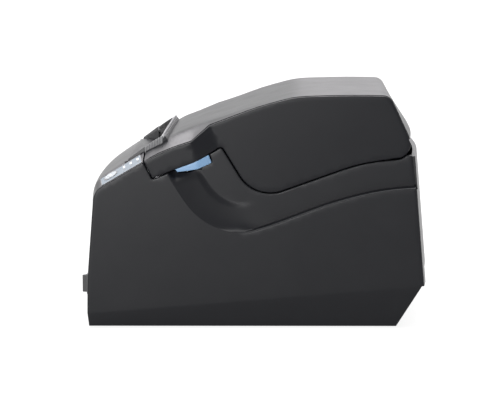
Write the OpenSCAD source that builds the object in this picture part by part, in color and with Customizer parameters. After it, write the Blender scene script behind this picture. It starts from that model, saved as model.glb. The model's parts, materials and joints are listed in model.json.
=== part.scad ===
// Receipt printer for 80 mm rolls: a case with a print mechanism in front,
// a bucket for the roll behind it and a top cover that swings open at the rear.
// X is the width (+X is the user's right), -Y is the front and Z is up.

/* [Case] */
// Width over the side panels
body_w = 145; // [138:0.5:160]
// Depth of the side panels
body_d = 195; // [190:0.5:215]
// Height of the closed printer
body_h = 135; // [131:0.5:145]
// How far the front and rear faces bulge in the middle
bulge = 3.8; // [1:0.1:6]
// Wall of the plastic mouldings
wall = 2.5; // [1.8:0.1:3]
// How far the rear sides lie inside the side panels
side_step = 4.5; // [3:0.1:5]
// Open seam between the cover and the case
seam = 0.7; // [0.5:0.05:1]
// Gap around a piece that is set into another
fit = 0.3; // [0.2:0.05:0.4]
// Width of the side panel's rim beside the top skins
rim_w = 1.3; // [0.8:0.1:2]
// Height of the crowned top above the side edges
crown = 5; // [3:0.1:6]

/* [Paper] */
// Width of the paper
paper_w = 80; // [76:0.5:82]
// Largest roll that the bucket takes
roll_d = 83; // [70:1:83]
// Angle by which the paper path leans forward
path_tilt = 20; // [16:0.5:24]
// Length of the path from the print line to the exit
path_l = 22; // [21:0.5:25]

/* [Print mechanism] */
// Diameter of the platen roller
platen_d = 13; // [11:0.1:14]
// Diameter of the platen's shaft
shaft_d = 6; // [4:0.1:7]
// Module of the feed gears
gear_m = 0.8; // [0.7:0.05:0.9]
// Teeth on the platen gear
platen_teeth = 22; // [18:1:26]
// Teeth on the idler gear
idler_teeth = 36; // [30:1:40]
// Teeth on the motor's pinion
motor_teeth = 12; // [11:1:14]
// Face width of the feed gears
gear_w = 5; // [3:0.1:6]
// Diameter of the stepper motor
motor_d = 35; // [28:0.5:36]
// Length of the stepper motor
motor_l = 22; // [15:0.5:26]
// Thickness of the steel plates
plate_t = 1.5; // [1:0.1:2]
// Stroke of the cutter's blade
cut_stroke = 5; // [3:0.1:6]
// Module of the cutter's rack
rack_m = 0.5; // [0.4:0.05:0.6]
// Teeth on the cutter's pinion
cut_teeth = 14; // [12:1:18]

/* [Cover] */
// Distance of the hinge axis from the rear of the side panels
hinge_in = 17.5; // [15:0.5:20]
// Distance of the hinge axis below the top
hinge_down = 27; // [25:0.5:30]
// Diameter of the hinge pins
hinge_d = 4; // [3:0.1:6]
// Diameter of the lever's pin
lever_pin_d = 1.6; // [1.2:0.1:2]

/* [Controls] */
// Width of the indicator panel
panel_w = 9; // [6:0.1:10]
// Length of the indicator panel
panel_l = 25; // [22:0.1:27]
// Length of the feed button
button_l = 7.5; // [5:0.1:9]
// Travel of the feed button
button_travel = 0.8; // [0.3:0.1:1]
// Length of the power switch's bezel
switch_l = 21; // [18:0.1:24]
// Height of the power switch's bezel
switch_h = 15; // [12:0.1:17]

/* [Feet] */
// Diameter of the rubber feet
foot_d = 12; // [8:0.5:16]
// Height of the rubber feet
foot_h = 3; // [2:0.1:4]

/* [Hidden] */
$fn = 48;

half_w = body_w / 2;
inner_w = half_w - side_step;
front_y = -body_d / 2;
rear_y = body_d / 2;
top_z = body_h;
far = 300;

// Where the paper leaves the printer, and the hinge axis of the cover
exit_y = front_y + 33.3;
exit_z = top_z - 38;
hinge_y = rear_y - hinge_in;
hinge_z = top_z - hinge_down;

function mirrored(p) = [for (i = [len(p) - 1:-1:0]) p[i]];
function unit(v) = v / norm(v);
function turn(a, b) = a[0] * b[1] - a[1] * b[0];

// Points of an open path of [y, z, radius] corners, with each corner rounded
function corner(a, b, c) =
    let (
        u = unit([b[0] - a[0], b[1] - a[1]]),
        v = unit([c[0] - b[0], c[1] - b[1]]),
        half = acos(max(-1, min(1, u * v))) / 2,
        side = sign(turn(u, v)),
        start = [b[0], b[1]] - u * b[2] * tan(half),
        middle = start + [-u[1], u[0]] * side * b[2],
        steps = max(2, ceil(half / 4))
    )
    b[2] == 0 || half < 0.2 ? [[b[0], b[1]]]
    : [for (i = [0:steps])
        let (t = side * (2 * half * i / steps - 90), e = atan2(u[1], u[0]))
        middle + b[2] * [cos(e + t), sin(e + t)]];
function rounded(p) = concat(
    [[p[0][0], p[0][1]]],
    [for (i = [1:len(p) - 2]) each corner(p[i - 1], p[i], p[i + 1])],
    [[p[len(p) - 1][0], p[len(p) - 1][1]]]
);

// The same path moved sideways by d (to the left of its direction)
function normal_at(p, i) =
    let (
        last = len(p) - 1,
        u = unit([p[max(i, 1)][0] - p[max(i, 1) - 1][0], p[max(i, 1)][1] - p[max(i, 1) - 1][1]]),
        j = min(i, last - 1),
        v = unit([p[j + 1][0] - p[j][0], p[j + 1][1] - p[j][1]]),
        m = unit([-u[1] - v[1], u[0] + v[0]])
    )
    m / (m * [-u[1], u[0]]);
function shifted(p, d) = [for (i = [0:len(p) - 1])
    let (n = normal_at(p, i)) [p[i][0] + n[0] * d, p[i][1] + n[1] * d]];

// A plate of a side-view outline, from x0 to x1
module slab(x0, x1, outline) {
    translate([x0, 0, 0]) rotate([90, 0, 90])
        linear_extrude(x1 - x0) polygon(outline);
}
module both() {
    children();
    mirror([1, 0, 0]) children();
}
module rod(x0, x1, d, at) {
    translate([x0, at[0], at[1]]) rotate([0, 90, 0]) cylinder(d = d, h = x1 - x0);
}
module box(x, y, z) {
    translate([x[0], y[0], z[0]]) cube([x[1] - x[0], y[1] - y[0], z[1] - z[0]]);
}

// A solid whose cross-sections are rings with the same number of points
module loft(rings) {
    n = len(rings[0]);
    last = len(rings) - 1;
    points = [for (r = rings) each r];
    sides = [for (j = [0:last - 1], i = [0:n - 1], k = [0, 1])
        let (a = j * n + i, b = j * n + (i + 1) % n)
        k == 0 ? [a, b + n, b] : [a, a + n, b + n]];
    start = [for (i = [1:n / 2 - 1], k = [0, 1])
        k == 0 ? [i - 1, i, n - i] : [i, n - 1 - i, n - i]];
    end = [for (f = start) [f[0] + last * n, f[2] + last * n, f[1] + last * n]];
    polyhedron(points, concat(sides, start, end));
}

/* Side view of the closed printer */
nose = [front_y + 4.6, exit_z - 16.8, 10];
low_edge = rounded([
    [front_y + 1, 0, 0],
    [front_y, 9, 0],
    [front_y + 0.3, 28, 140],
    nose,
    [exit_y + 11.7, exit_z + 7, 100],
    [exit_y + 27.5, exit_z + 11.9, 0]
]);
top_edge = rounded([
    [exit_y + 12.7, top_z - 26.7, 0],
    [front_y + 99.5, top_z - 6.6, 150],
    [front_y + 121, top_z - 0.8, 30],
    [rear_y - 41.5, top_z, 400],
    [rear_y - 20.3, top_z - 0.4, 6.5],
    [rear_y - 9.2, top_z - 24, 30],
    [rear_y - 7.2, top_z - 35.7, 0]
]);
rear_edge = [
    [rear_y - 7.2, top_z - 35.7], [rear_y - 3.6, top_z - 66.6], [rear_y, 25.4],
    [rear_y - 1.1, 25], [rear_y - 16.6, 0]
];
function low_z(y) = lookup(y, [for (p = low_edge) if (p[1] > nose[1]) p]);
function high_z(y) = lookup(y, [for (p = top_edge) if (p[1] > top_z - 27) p]);

// Where the low front edge rises to the full height
rise_y = exit_y + 27.5;
full_y = exit_y + 37.8;

// Seam between the cover and the case, from the front to the rear
lever_front = [exit_y + 18.6, exit_z - 4.5];
lever_rear = [exit_y + 37.4, exit_z + 4.2];
horn_top = [exit_y + 44.8, exit_z + 8.3];
valley = [front_y + 97.3, exit_z - 23.2];
cover_line = [
    [exit_y, exit_z + 30, 0],
    [exit_y, exit_z, 1.2],
    [exit_y + 5.1, exit_z - 9.9, 1.2],
    [lever_front[0], lever_front[1], 4],
    [exit_y + 29.4, exit_z - 0.9, 6],
    [horn_top[0], horn_top[1], 2],
    [valley[0], valley[1], 21],
    [rear_y - 37.5, exit_z - 1.6, 100],
    [rear_y + 10, exit_z + 4.7, 0]
];
case_line = [
    [exit_y, exit_z + 30, 0],
    [exit_y, exit_z, 0.5],
    [exit_y + 5.1, exit_z - 9.9, 1.2],
    [lever_front[0] - 0.6, lever_front[1] - 0.3, 0],
    [exit_y + 20.8, exit_z - 6.1, 0],
    [exit_y + 26.2, exit_z - 5.9, 3],
    [lever_rear[0] + 2, exit_z - 0.4, 0],
    [lever_rear[0] + 0.4, lever_rear[1], 0],
    [horn_top[0], horn_top[1], 2],
    [valley[0], valley[1], 21],
    [rear_y - 37.5, exit_z - 1.6, 100],
    [rear_y + 10, exit_z + 4.7, 0]
];
above_seam = concat(rounded(cover_line), [[rear_y + 10, far], [exit_y, far]]);
above_case = concat(rounded(case_line), [[rear_y + 10, far], [exit_y, far]]);
case_shape = concat(low_edge, [[rise_y, far], [rear_y - 7.2, far]], rear_edge);
cover_wing = concat([[exit_y, exit_z - 40]],
    [for (p = low_edge) if (p[0] > exit_y) p],
    [[exit_y + 31, exit_z + 1]]);

// Lower edge of the recessed band on the sides, and its inner edge
wave = [
    [exit_y + 6, exit_z + 12.2, 0],
    [exit_y + 40.8, exit_z - 48.6, 40],
    [rear_y - 29.8, exit_z - 14.7, 135],
    [rear_y + 10, exit_z - 14, 0]
];
inner_wave = [
    [lever_rear[0] - 2, exit_z + 12, 0],
    [exit_y + 46.1, exit_z - 29.2, 21],
    [valley[0] + 40, exit_z - 8.5, 0]
];
above_wave = concat(rounded(wave), [[rear_y + 10, far], [exit_y + 6, far]]);
skirt_tilt = atan2(16.3, body_d);
skirt_taper = 5;

// Everything that lies in the paper path leans with it
module path_frame() {
    translate([0, exit_y, exit_z]) rotate([path_tilt, 0, 0]) children();
}
function on_path(y, z) = [
    exit_y + y * cos(path_tilt) - z * sin(path_tilt),
    exit_z + y * sin(path_tilt) + z * cos(path_tilt)
];

platen_r = platen_d / 2;
nip = 0.3;
run = 0.05;
platen_at = on_path(platen_r, -path_l);
lift = unit([-(hinge_z - platen_at[1]), hinge_y - platen_at[0]]);
idler_dist = gear_m * (platen_teeth + idler_teeth) / 2;
idler_at = platen_at - lift * idler_dist;
motor_dist = gear_m * (motor_teeth + idler_teeth) / 2;
motor_dir = -72;
motor_at = idler_at + motor_dist * [cos(motor_dir), sin(motor_dir)];
plate_x = paper_w / 2 + 9.5;
gear_x = plate_x + plate_t + 3;
platen_l = paper_w + 2;
arm_x = plate_x - 3.5;

roll_r = roll_d / 2 + 2.5;
roll_at = [rear_y - 72.5, 20 + roll_r];
bucket_x = paper_w / 2 + 1.5;
deck_z = valley[1] - 3;
floor_z = foot_h + 1.5;

// A gear with involute teeth, with a tooth on +X of its own frame
function involute(r, t) = r * [cos(t) + t * PI / 180 * sin(t), sin(t) - t * PI / 180 * cos(t)];
module gear_2d(m, teeth, thin = 0.08) {
    pitch_r = m * teeth / 2;
    base_r = pitch_r * cos(20);
    tip_r = pitch_r + m * 0.95;
    root_r = pitch_r - m * 1.2;
    tip_t = sqrt(pow(tip_r / base_r, 2) - 1) * 180 / PI;
    pitch_t = sqrt(pow(pitch_r / base_r, 2) - 1) * 180 / PI;
    pitch_a = atan2(involute(base_r, pitch_t)[1], involute(base_r, pitch_t)[0]);
    half_a = (m * PI / 4 - thin) / pitch_r * 180 / PI + pitch_a;
    flank = [for (i = [0:5]) involute(base_r, tip_t * i / 5)];
    function spun(p, a) = [p[0] * cos(a) - p[1] * sin(a), p[0] * sin(a) + p[1] * cos(a)];
    function flip(p) = [p[0], -p[1]];
    polygon([for (k = [0:teeth - 1])
        each concat(
            [spun([min(root_r, base_r - 0.01), 0], k * 360 / teeth - half_a)],
            [for (p = flank) spun(p, k * 360 / teeth - half_a)],
            [for (p = mirrored(flank)) spun(flip(p), k * 360 / teeth + half_a)],
            [spun([min(root_r, base_r - 0.01), 0], k * 360 / teeth + half_a)]
        )]);
}
// A gear on an axle along X; phase turns a tooth towards that direction
module gear(x0, w, teeth, at, phase, bore) {
    translate([x0, at[0], at[1]]) rotate([90, 0, 90]) rotate([0, 0, phase])
        difference() {
            linear_extrude(w) gear_2d(gear_m, teeth);
            translate([0, 0, -1]) cylinder(d = bore, h = w + 2);
        }
}

/* Skins that are inlaid between the side panels' rims */
skin_t = 2.2;
notch_x = 57;
skin_x = half_w - rim_w;
roof_x = inner_w - rim_w;
body_z = 1.2;
function bulge_at(x) = bulge * (1 - pow(x / half_w, 2));
function crown_at(x, edge) = crown * max(0, min(1, (edge - abs(x)) / (edge - notch_x)));
function across(edge) = [-edge, -notch_x, -38, -19, 0, 19, 38, notch_x, edge];

// A skin along a path: offsets give how far it stands out at each x
module skin(path, edges, offsets, normals, t) {
    loft([for (j = [0:len(path) - 1])
        let (xs = across(edges[j]), n = normals[j])
        concat(
            [for (k = [0:len(xs) - 1])
                [xs[k], path[j][0] + n[0] * offsets[j][k], path[j][1] + n[1] * offsets[j][k]]],
            [for (k = [len(xs) - 1:-1:0])
                let (d = offsets[j][k] - t) [xs[k], path[j][0] + n[0] * d, path[j][1] + n[1] * d]]
        )]);
}

// Front: the bulge fades into the crown over the rounded nose
front_path = concat([[front_y + 0.9, body_z]],
    [for (p = low_edge) if (p[1] > 5 && p[0] < exit_y - 4) p],
    [[exit_y - fit, low_z(exit_y - fit)]]);
function nose_blend(z) = max(0, min(1, (z - nose[1] + 9) / 10));
slope = atan2(exit_z + 7 - nose[1], exit_y + 11.7 - nose[0]);
tilt = atan2(crown, skin_x - notch_x);

// The middle of the right-hand shoulder, with +Y up the slope
panel_at = [(skin_x + notch_x) / 2 + 0.6, exit_y - 1.5 - panel_l / 2 * cos(slope)];
module shoulder_frame() {
    d = crown_at(panel_at[0], skin_x);
    translate([panel_at[0], panel_at[1] - d * sin(slope), low_z(panel_at[1]) + d * cos(slope)])
        rotate([slope, 0, 0]) rotate([0, tilt, 0]) children();
}
module on_shoulder(w, y, z) {
    shoulder_frame() box([-w / 2, w / 2], y, z);
}

switch_at = [half_w - 15.5, 24.8];
switch_face = front_y - bulge_at(switch_at[0] + switch_l / 2) - 0.1;
board_drop = 5.5;

// Notch in the top where the paper comes out
notch_floor = [exit_y + 2.7, exit_z - 0.7];
ridge = [exit_y + 11.6, exit_z + 14];
ridge_angle = atan2(ridge[1] - notch_floor[1], ridge[0] - notch_floor[0]);
notch = [
    [exit_y - 10.2, exit_z - 0.4], [exit_y - 2, exit_z - 2], notch_floor, ridge,
    [exit_y + 9, exit_z + 20], [exit_y - 18, exit_z + 8]
];

module side_panel() {
    difference() {
        slab(inner_w - wall, half_w, case_shape);
        slab(0, far, above_case);
        // the recessed band ramps down behind the lever, the rest is one step in
        intersection() {
            slab(inner_w, far, above_wave);
            union() {
                slab(inner_w, far, concat(rounded(inner_wave),
                    [[rear_y + 10, valley[1] + 8], [rear_y + 10, far], [exit_y + 30, far]]));
                translate([half_w, exit_y + 14, 0]) rotate([0, 0, atan2(side_step, 64)])
                    cube([side_step * 3, far, far]);
            }
        }
        // finger scoop under the lever
        slab(inner_w - 1.3, far, [
            [exit_y + 19.5, exit_z - 4], [exit_y + 21, exit_z - 13], [exit_y + 27, exit_z - 16],
            [exit_y + 36, exit_z - 12], [exit_y + 38.6, exit_z]
        ]);
        // slot for the lever's arm
        box([0, inner_w - 1], [catch_y[0] - 0.4, catch_y[1] + 0.9], [exit_z - 4.1, far]);
        // hollow behind the thick lower part
        slab(0, half_w - wall, concat(
            shifted(rounded(wave), -wall - 0.4),
            [[rear_y + 6, exit_z - 16], [rear_y + 6, 0], [front_y - 9, 0], [front_y - 9, far / 2]]
        ));
        // rebate for the front panel
        slab(0, skin_x + fit, concat(shifted(front_path, -skin_t - fit),
            [[exit_y, far / 2], [front_y - 9, far / 2], [front_y - 9, 0]]));
        box([0, far], [-far, far], [-far, body_z]);
        // the skirt tapers inwards below its crease
        translate([half_w, 0, 17.2]) rotate([skirt_tilt, 0, 0]) rotate([0, skirt_taper, 0])
            box([0, 20], [-far / 2, far / 2], [-far, 0]);
    }
}

rear_lean = atan2(3.6, top_z - 66.6 - 25.4);
cable_top = 34;
// the rear bulges as far as the front does, measured over the cable opening
rear_bulge = bulge + (cable_top - 25.4) * tan(rear_lean);
rear_r = (half_w * half_w + rear_bulge * rear_bulge) / 2 / rear_bulge;
cable_x = half_w - 17;
module rear_wall(r, t) {
    translate([0, (rear_edge[1][0] + rear_y) / 2 + rear_bulge, (rear_edge[1][1] + 25.4) / 2])
        rotate([rear_lean, 0, 0]) translate([0, -r, -90]) difference() {
            cylinder(r = r, h = 200, $fn = 240);
            translate([0, 0, -1]) cylinder(r = r - t, h = 202, $fn = 240);
        }
}
// Lugs on the case that hold the hinge pins
lug_x = inner_w - wall - 8;
module main_case() {
    color("#3a3b3e") {
        both() side_panel();
        difference() {
            intersection() {
                rear_wall(rear_r, wall);
                box([-half_w + 1, half_w - 1], [0, far], [25, hinge_z - hinge_drop]);
            }
            box([-cable_x, cable_x], [0, far], [0, cable_top]);
            both() box([inner_w - wall + 1, far], [0, far], [exit_z - 16, far]);
        }
        both() difference() {
            union() {
                slab(lug_x, lug_x + 3, [
                    [hinge_y - 5, hinge_z], [hinge_y - 5, deck_z - 6], [rear_y - 3, deck_z - 14],
                    [rear_y - 6.5, exit_z - 3], [hinge_y - 1.5, hinge_z - swing_r - 2],
                    [hinge_y - 1.5, hinge_z - 6], [hinge_y + 5, hinge_z]
                ]);
                rod(lug_x, lug_x + 3, 10, [hinge_y, hinge_z]);
            }
            rod(lug_x - 1, lug_x + 4, hinge_d, [hinge_y, hinge_z]);
        }
        for (y = screw_ys) both() difference() {
            union() {
                translate([screw_x, y, 7]) cylinder(d = 8, h = 18);
                box([screw_x, half_w - wall + 0.5], [y - 1.5, y + 1.5], [9, 25]);
            }
            translate([screw_x, y, 6]) cylinder(d = screw_d, h = 12);
        }
    }
}

screw_x = half_w - 14;
screw_ys = [front_y + 28.3, rear_y - 47.5];
screw_d = 3;

module front_skin() {
    skin(front_path, [for (p = front_path) skin_x],
        [for (p = front_path) [for (x = across(skin_x))
            bulge_at(x) * (1 - nose_blend(p[1])) + crown_at(x, skin_x) * nose_blend(p[1])]],
        [for (i = [0:len(front_path) - 1]) normal_at(front_path, i)], skin_t);
}
module front_panel() {
    color("#48494c") difference() {
        union() {
            difference() {
                front_skin();
                slab(-notch_x, notch_x, notch);
            }
            // floor of the notch in front of the paper, and its ends
            slab(-notch_x - 1, notch_x + 1, [
                notch[0] + [-2, -0.9], notch[0], notch[1], [exit_y - 0.8, exit_z - 2],
                [exit_y - 0.8, exit_z - 4], [exit_y - 3, exit_z - 4], notch[0] + [-1, -3]
            ]);
            both() slab(notch_x, notch_x + 1.8, [
                notch[0] + [-2, -1], notch[1] + [0, -2], [exit_y - 0.8, exit_z - 4],
                [exit_y - 0.8, exit_z + 3], notch[0] + [1, 0]
            ]);
            // posts for the indicator board
            for (y = [-panel_l / 2 + 3, -3]) shoulder_frame()
                box([-panel_w / 2 - 1.5, -panel_w / 2], [y - 1.5, y + 1.5], [-board_drop, -1]);
        }
        box([-far, far], [exit_y, far], [0, far]);
        on_shoulder(panel_w, [-panel_l / 2, panel_l / 2], [-5, 6]);
        box([switch_at[0] - switch_l / 2 + 1.2, switch_at[0] + switch_l / 2 - 1.2],
            [-far, 0], [switch_at[1] - switch_h / 2 + 1.2, switch_at[1] + switch_h / 2 - 1.2]);
    }
}

tray_x = half_w - wall - fit;
tray_front = front_y + 3.7;
tray_rear = rear_y - 17.5;
foot_at = [half_w - 16, front_y + 16, rear_y - 32];
post_h = 5;
module at_feet() {
    for (x = [-1, 1], y = [foot_at[1], foot_at[2]]) translate([x * foot_at[0], y, 0]) children();
}
board_z = 9;
board_x = 52;
board_y = [exit_y + 48, rear_y - 22];
chassis_z = 8;
chassis_y = [exit_y, exit_y + 44];
module board_corners() {
    for (x = [-1, 1], y = [board_y[0] + 4, board_y[1] - 24])
        translate([x * (board_x - 4), y, 0]) children();
}
module chassis_corners() {
    for (x = [-1, 1], y = [chassis_y[0] + 5, chassis_y[1] - 5])
        translate([x * (plate_x + 6.5), y, 0]) children();
}
module base_tray() {
    color("#2c2c2e") difference() {
        union() {
            box([-tray_x, tray_x], [tray_front, tray_rear], [body_z, body_z + 2]);
            translate([0, 0, body_z]) linear_extrude(2) polygon(concat(
                [for (x = across(tray_x)) [x, tray_front - bulge_at(x)]],
                [[tray_x, tray_front + 1], [-tray_x, tray_front + 1]]
            ));
            difference() {
                box([-tray_x, tray_x], [tray_front, tray_rear], [body_z, 7]);
                box([-tray_x + 2, tray_x - 2], [tray_front + 2, tray_rear - 2], [0, 9]);
            }
            at_feet() translate([0, 0, body_z]) cylinder(d = foot_d + 4, h = foot_h + 0.8);
            board_corners() translate([0, 0, 2]) cylinder(d = 7, h = board_z - 2);
            chassis_corners() translate([0, 0, 2]) cylinder(d = 8, h = chassis_z - 2);
            for (y = screw_ys) both() translate([screw_x, y, 2]) cylinder(d = 8, h = 5);
        }
        at_feet() translate([0, 0, -1]) cylinder(d = foot_d, h = foot_h + 1);
        board_corners() translate([0, 0, 3.5]) cylinder(d = screw_d, h = 9);
        chassis_corners() translate([0, 0, 3.5]) cylinder(d = screw_d, h = 9);
        for (y = screw_ys) both() {
            translate([screw_x, y, 0]) cylinder(d = screw_d + 0.4, h = 9);
            translate([screw_x, y, 0]) cylinder(d = 6.4, h = 3.6);
        }
    }
}
module rubber_feet() {
    color("#19191a") at_feet() cylinder(d = foot_d, h = foot_h);
}

// A cross-recessed screw with its head down (d is the thread's diameter)
module screw(d, l) {
    difference() {
        union() {
            cylinder(d = d, h = l);
            translate([0, 0, -1.8]) cylinder(d = 1.9 * d, h = 1.8);
        }
        translate([-d / 2, -0.35, -2]) cube([d, 0.7, 1]);
        translate([-0.35, -d / 2, -2]) cube([0.7, d, 1]);
    }
}
module case_screws() {
    color("#8b8d90") for (y = screw_ys) both()
        translate([screw_x, y, 3.6]) screw(screw_d, 12);
}

/* Bucket for the roll */
bucket_t = 2;
module roll_bucket() {
    r = roll_r + bucket_t;
    color("#333437") {
        difference() {
            union() {
                rod(-bucket_x - bucket_t, bucket_x + bucket_t, 2 * r, roll_at);
                // lip that leads the paper to the print line
                slab(-bucket_x - bucket_t, bucket_x + bucket_t, [
                    [roll_at[0] - r + 3, deck_z - 26], [roll_at[0] - r - 12, deck_z - 8],
                    [roll_at[0] - r - 13, deck_z], [roll_at[0] - r + 6, deck_z]
                ]);
            }
            rod(-bucket_x, bucket_x, 2 * roll_r, roll_at);
            box([-far, far], [-far, far], [deck_z, far]);
            slab(-bucket_x, bucket_x, [
                [roll_at[0] - r + 3, deck_z - 22], [roll_at[0] - r - 8, deck_z - 9],
                [roll_at[0] - r - 10, deck_z + 1], [roll_at[0], deck_z + 1], [roll_at[0], deck_z - 22]
            ]);
            box(sensor_x, [sensor_at[0] - 5, sensor_at[0] + 5],
                [sensor_at[1] + 2, sensor_at[1] + 9.5]);
            paper_sensor_box(fit);
        }
        // deck on both sides of the bucket, on legs that stand on the tray
        both() difference() {
            union() {
                box([bucket_x + 0.5, inner_w - wall - fit], [roll_at[0] - r + 2, rear_y - 12],
                    [deck_z - 2, deck_z]);
                for (y = [roll_at[0] - 34, roll_at[0] + 30])
                    box([board_x + 9, board_x + 12], [y, y + 3], [body_z + 2, deck_z - 1]);
            }
            box([lug_x - 1, far], [hinge_y - 7, far], [0, far]);
        }
    }
}

// Lever that feels the roll's side when little paper is left
sensor_at = [roll_at[0] + 14, roll_at[1] - 24];
sensor_x = [bucket_x - 1, bucket_x + bucket_t + 1];
module near_end_lever() {
    x0 = bucket_x + bucket_t + 0.6;
    color("#e8e8e6") {
        difference() {
            union() {
                rod(x0, x0 + 3, 6, sensor_at);
                box([x0, x0 + 3], [sensor_at[0] - 2, sensor_at[0] + 2],
                    [sensor_at[1], sensor_at[1] + 8]);
                box([bucket_x - 0.4, x0 + 1], [sensor_at[0] - 2, sensor_at[0] + 2],
                    [sensor_at[1] + 4, sensor_at[1] + 8]);
                box([x0 + 1, x0 + 3], [sensor_at[0] - 1, sensor_at[0] + 1],
                    [sensor_at[1] - 10, sensor_at[1]]);
            }
            rod(x0 - 1, x0 + 4, 2 + 2 * run, sensor_at);
        }
    }
}
module near_end_sensor() {
    x0 = bucket_x + bucket_t;
    color("#1d3a24") {
        rod(x0, x0 + 6, 2, sensor_at);
        box([x0 + 4.4, x0 + 6], [sensor_at[0] - 2, sensor_at[0] + 2],
            [sensor_at[1] - 7, sensor_at[1] + 1.5]);
        difference() {
            box([x0, x0 + 8], [sensor_at[0] - 9, sensor_at[0] + 9],
                [sensor_at[1] - 14, sensor_at[1] - 6]);
            box([x0 + 1, x0 + 5], [sensor_at[0] - 8, sensor_at[0] + 8],
                [sensor_at[1] - 15 + 3, sensor_at[1] - 5]);
        }
    }
}

/* Chassis that carries the print mechanism */
slot_w = platen_d - 2;
head_pivot = on_path(-4, -path_l - 19);
motor_boss = 10;
module chassis_side(x0, x1) {
    difference() {
        slab(x0, x1, [
            on_path(-19.5, -4), on_path(1.2, -4), on_path(0.6, -12), on_path(14, -14),
            on_path(20, -10), [exit_y + 34, exit_z - 14], [exit_y + 36, exit_z - 32],
            [chassis_y[1], motor_at[1]], [chassis_y[1], chassis_z],
            [chassis_y[0], chassis_z], [chassis_y[0], motor_at[1]], on_path(-16.5, -40), on_path(-19.5, -16)
        ]);
        // open seat for the platen's bush, wider at its mouth
        translate([0, platen_at[0], platen_at[1]]) slab(x0 - 1, x1 + 1, [
            for (a = [180:15:360]) (slot_w / 2 + fit) * [
                cos(a) * lift[1] + sin(a) * lift[0], sin(a) * lift[1] - cos(a) * lift[0]],
            (slot_w / 2 + fit + 2.5) * [lift[1], -lift[0]] + 22 * lift,
            (slot_w / 2 + fit + 1) * [-lift[1], lift[0]] + 22 * lift
        ]);
        rod(x0 - 1, x1 + 1, 3, head_pivot);
    }
}
module chassis() {
    color("#9da1a5") difference() {
        union() {
            chassis_side(plate_x, plate_x + plate_t);
            chassis_side(-plate_x - plate_t, -plate_x);
            path_frame() box([-plate_x, plate_x], [-16.5, -15], [-path_l - 18, blade_z - 3.4]);
            both() box([plate_x, plate_x + 13], chassis_y, [chassis_z, chassis_z + plate_t]);
            box([-plate_x, plate_x], [chassis_y[0], chassis_y[0] + plate_t],
                [chassis_z, chassis_z + 12]);
            box([-plate_x, plate_x], [chassis_y[1] - plate_t, chassis_y[1]],
                [chassis_z, chassis_z + 10]);
        }
        rod(-far, 0, motor_boss, motor_at);
        rod(-far, 0, 4, idler_at);
        chassis_corners() translate([0, 0, chassis_z - 1]) cylinder(d = screw_d + 0.4, h = 4);
    }
}
module chassis_screws() {
    color("#8b8d90") chassis_corners()
        translate([0, 0, chassis_z + plate_t]) mirror([0, 0, 1]) screw(screw_d, 5);
}

/* Thermal head */
module head_heatsink() {
    color("#b9bcc0") path_frame() difference() {
        union() {
            box([-46, 46], [-5.5, -1.5], [-path_l - 15, -path_l + 6]);
            for (z = [-12:4:0]) box([-44, 44], [-7, -5], [-path_l + z - 0.6, -path_l + z + 0.6]);
            both() box([38, 44], [-6.5, -1.5], [-path_l - 22, -path_l - 14]);
        }
        both() translate([37, -4, -path_l - 19]) rotate([0, 90, 0])
            cylinder(d = 3 + 2 * run, h = 8);
        for (x = spring_xs) translate([x, -20, -path_l]) rotate([-90, 0, 0])
            cylinder(d = 5.4, h = 14);
    }
}
module head_ceramic() {
    color("#d8d4c6") path_frame() {
        box([-43, 43], [-1.5, -nip - 0.1], [-path_l - 8, -path_l + 5]);
        box([-41, 41], [-nip - 0.1, -nip], [-path_l - 0.6, -path_l + 0.6]);
    }
}
module head_pivot_shaft() {
    color("#c2c4c7") rod(-plate_x - plate_t, plate_x + plate_t, 3, head_pivot);
}
spring_xs = [-20, 20];
module coil(d, wire, turns, l) {
    for (i = [0:turns - 1]) translate([0, 0, wire / 2 + i * (l - wire) / (turns - 1)])
        rotate_extrude($fn = 32) translate([d / 2 - wire / 2, 0]) circle(d = wire, $fn = 13);
    linear_post(d, wire, l);
}
module linear_post(d, wire, l) {
    translate([d / 2 - wire / 2, 0, wire / 2]) cylinder(d = wire * 0.8, h = l - wire, $fn = 16);
}
module head_springs() {
    color("#a9acb0") path_frame() for (x = spring_xs)
        translate([x, -15, -path_l]) rotate([-90, 0, 0]) coil(4.6, 0.7, 6, 9);
}

/* Feed drive */
module feed_motor() {
    color("#6e7276") {
        rod(-plate_x, -plate_x + motor_l, motor_d, motor_at);
        rod(-plate_x - plate_t - 0.8, -plate_x, motor_boss, motor_at);
    }
}
function mesh_phase(from, to, teeth) =
    atan2(to[1] - from[1], to[0] - from[0]) + 180 / teeth;
module motor_pinion() {
    color("#c9a14a") {
        a = atan2(idler_at[1] - motor_at[1], idler_at[0] - motor_at[0]);
        // a tooth of the pinion points into the idler's tooth gap
        gear(-gear_x - gear_w + 0.5, gear_w - 0.5, motor_teeth, motor_at, a, 1.9);
        rod(-gear_x - gear_w + 1, -plate_x - plate_t - 1.2, 2, motor_at);
    }
}
idler_phase = mesh_phase(idler_at, motor_at, idler_teeth);
module idler_gear() {
    color("#e4e2da") gear(-gear_x - gear_w, gear_w, idler_teeth, idler_at, idler_phase, 4 + 2 * run);
}
module idler_stud() {
    color("#b4b7ba") {
        rod(-gear_x - gear_w - 1, -plate_x, 4, idler_at);
        rod(-gear_x + 0.4, -plate_x - plate_t, 8, idler_at);
    }
}
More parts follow.
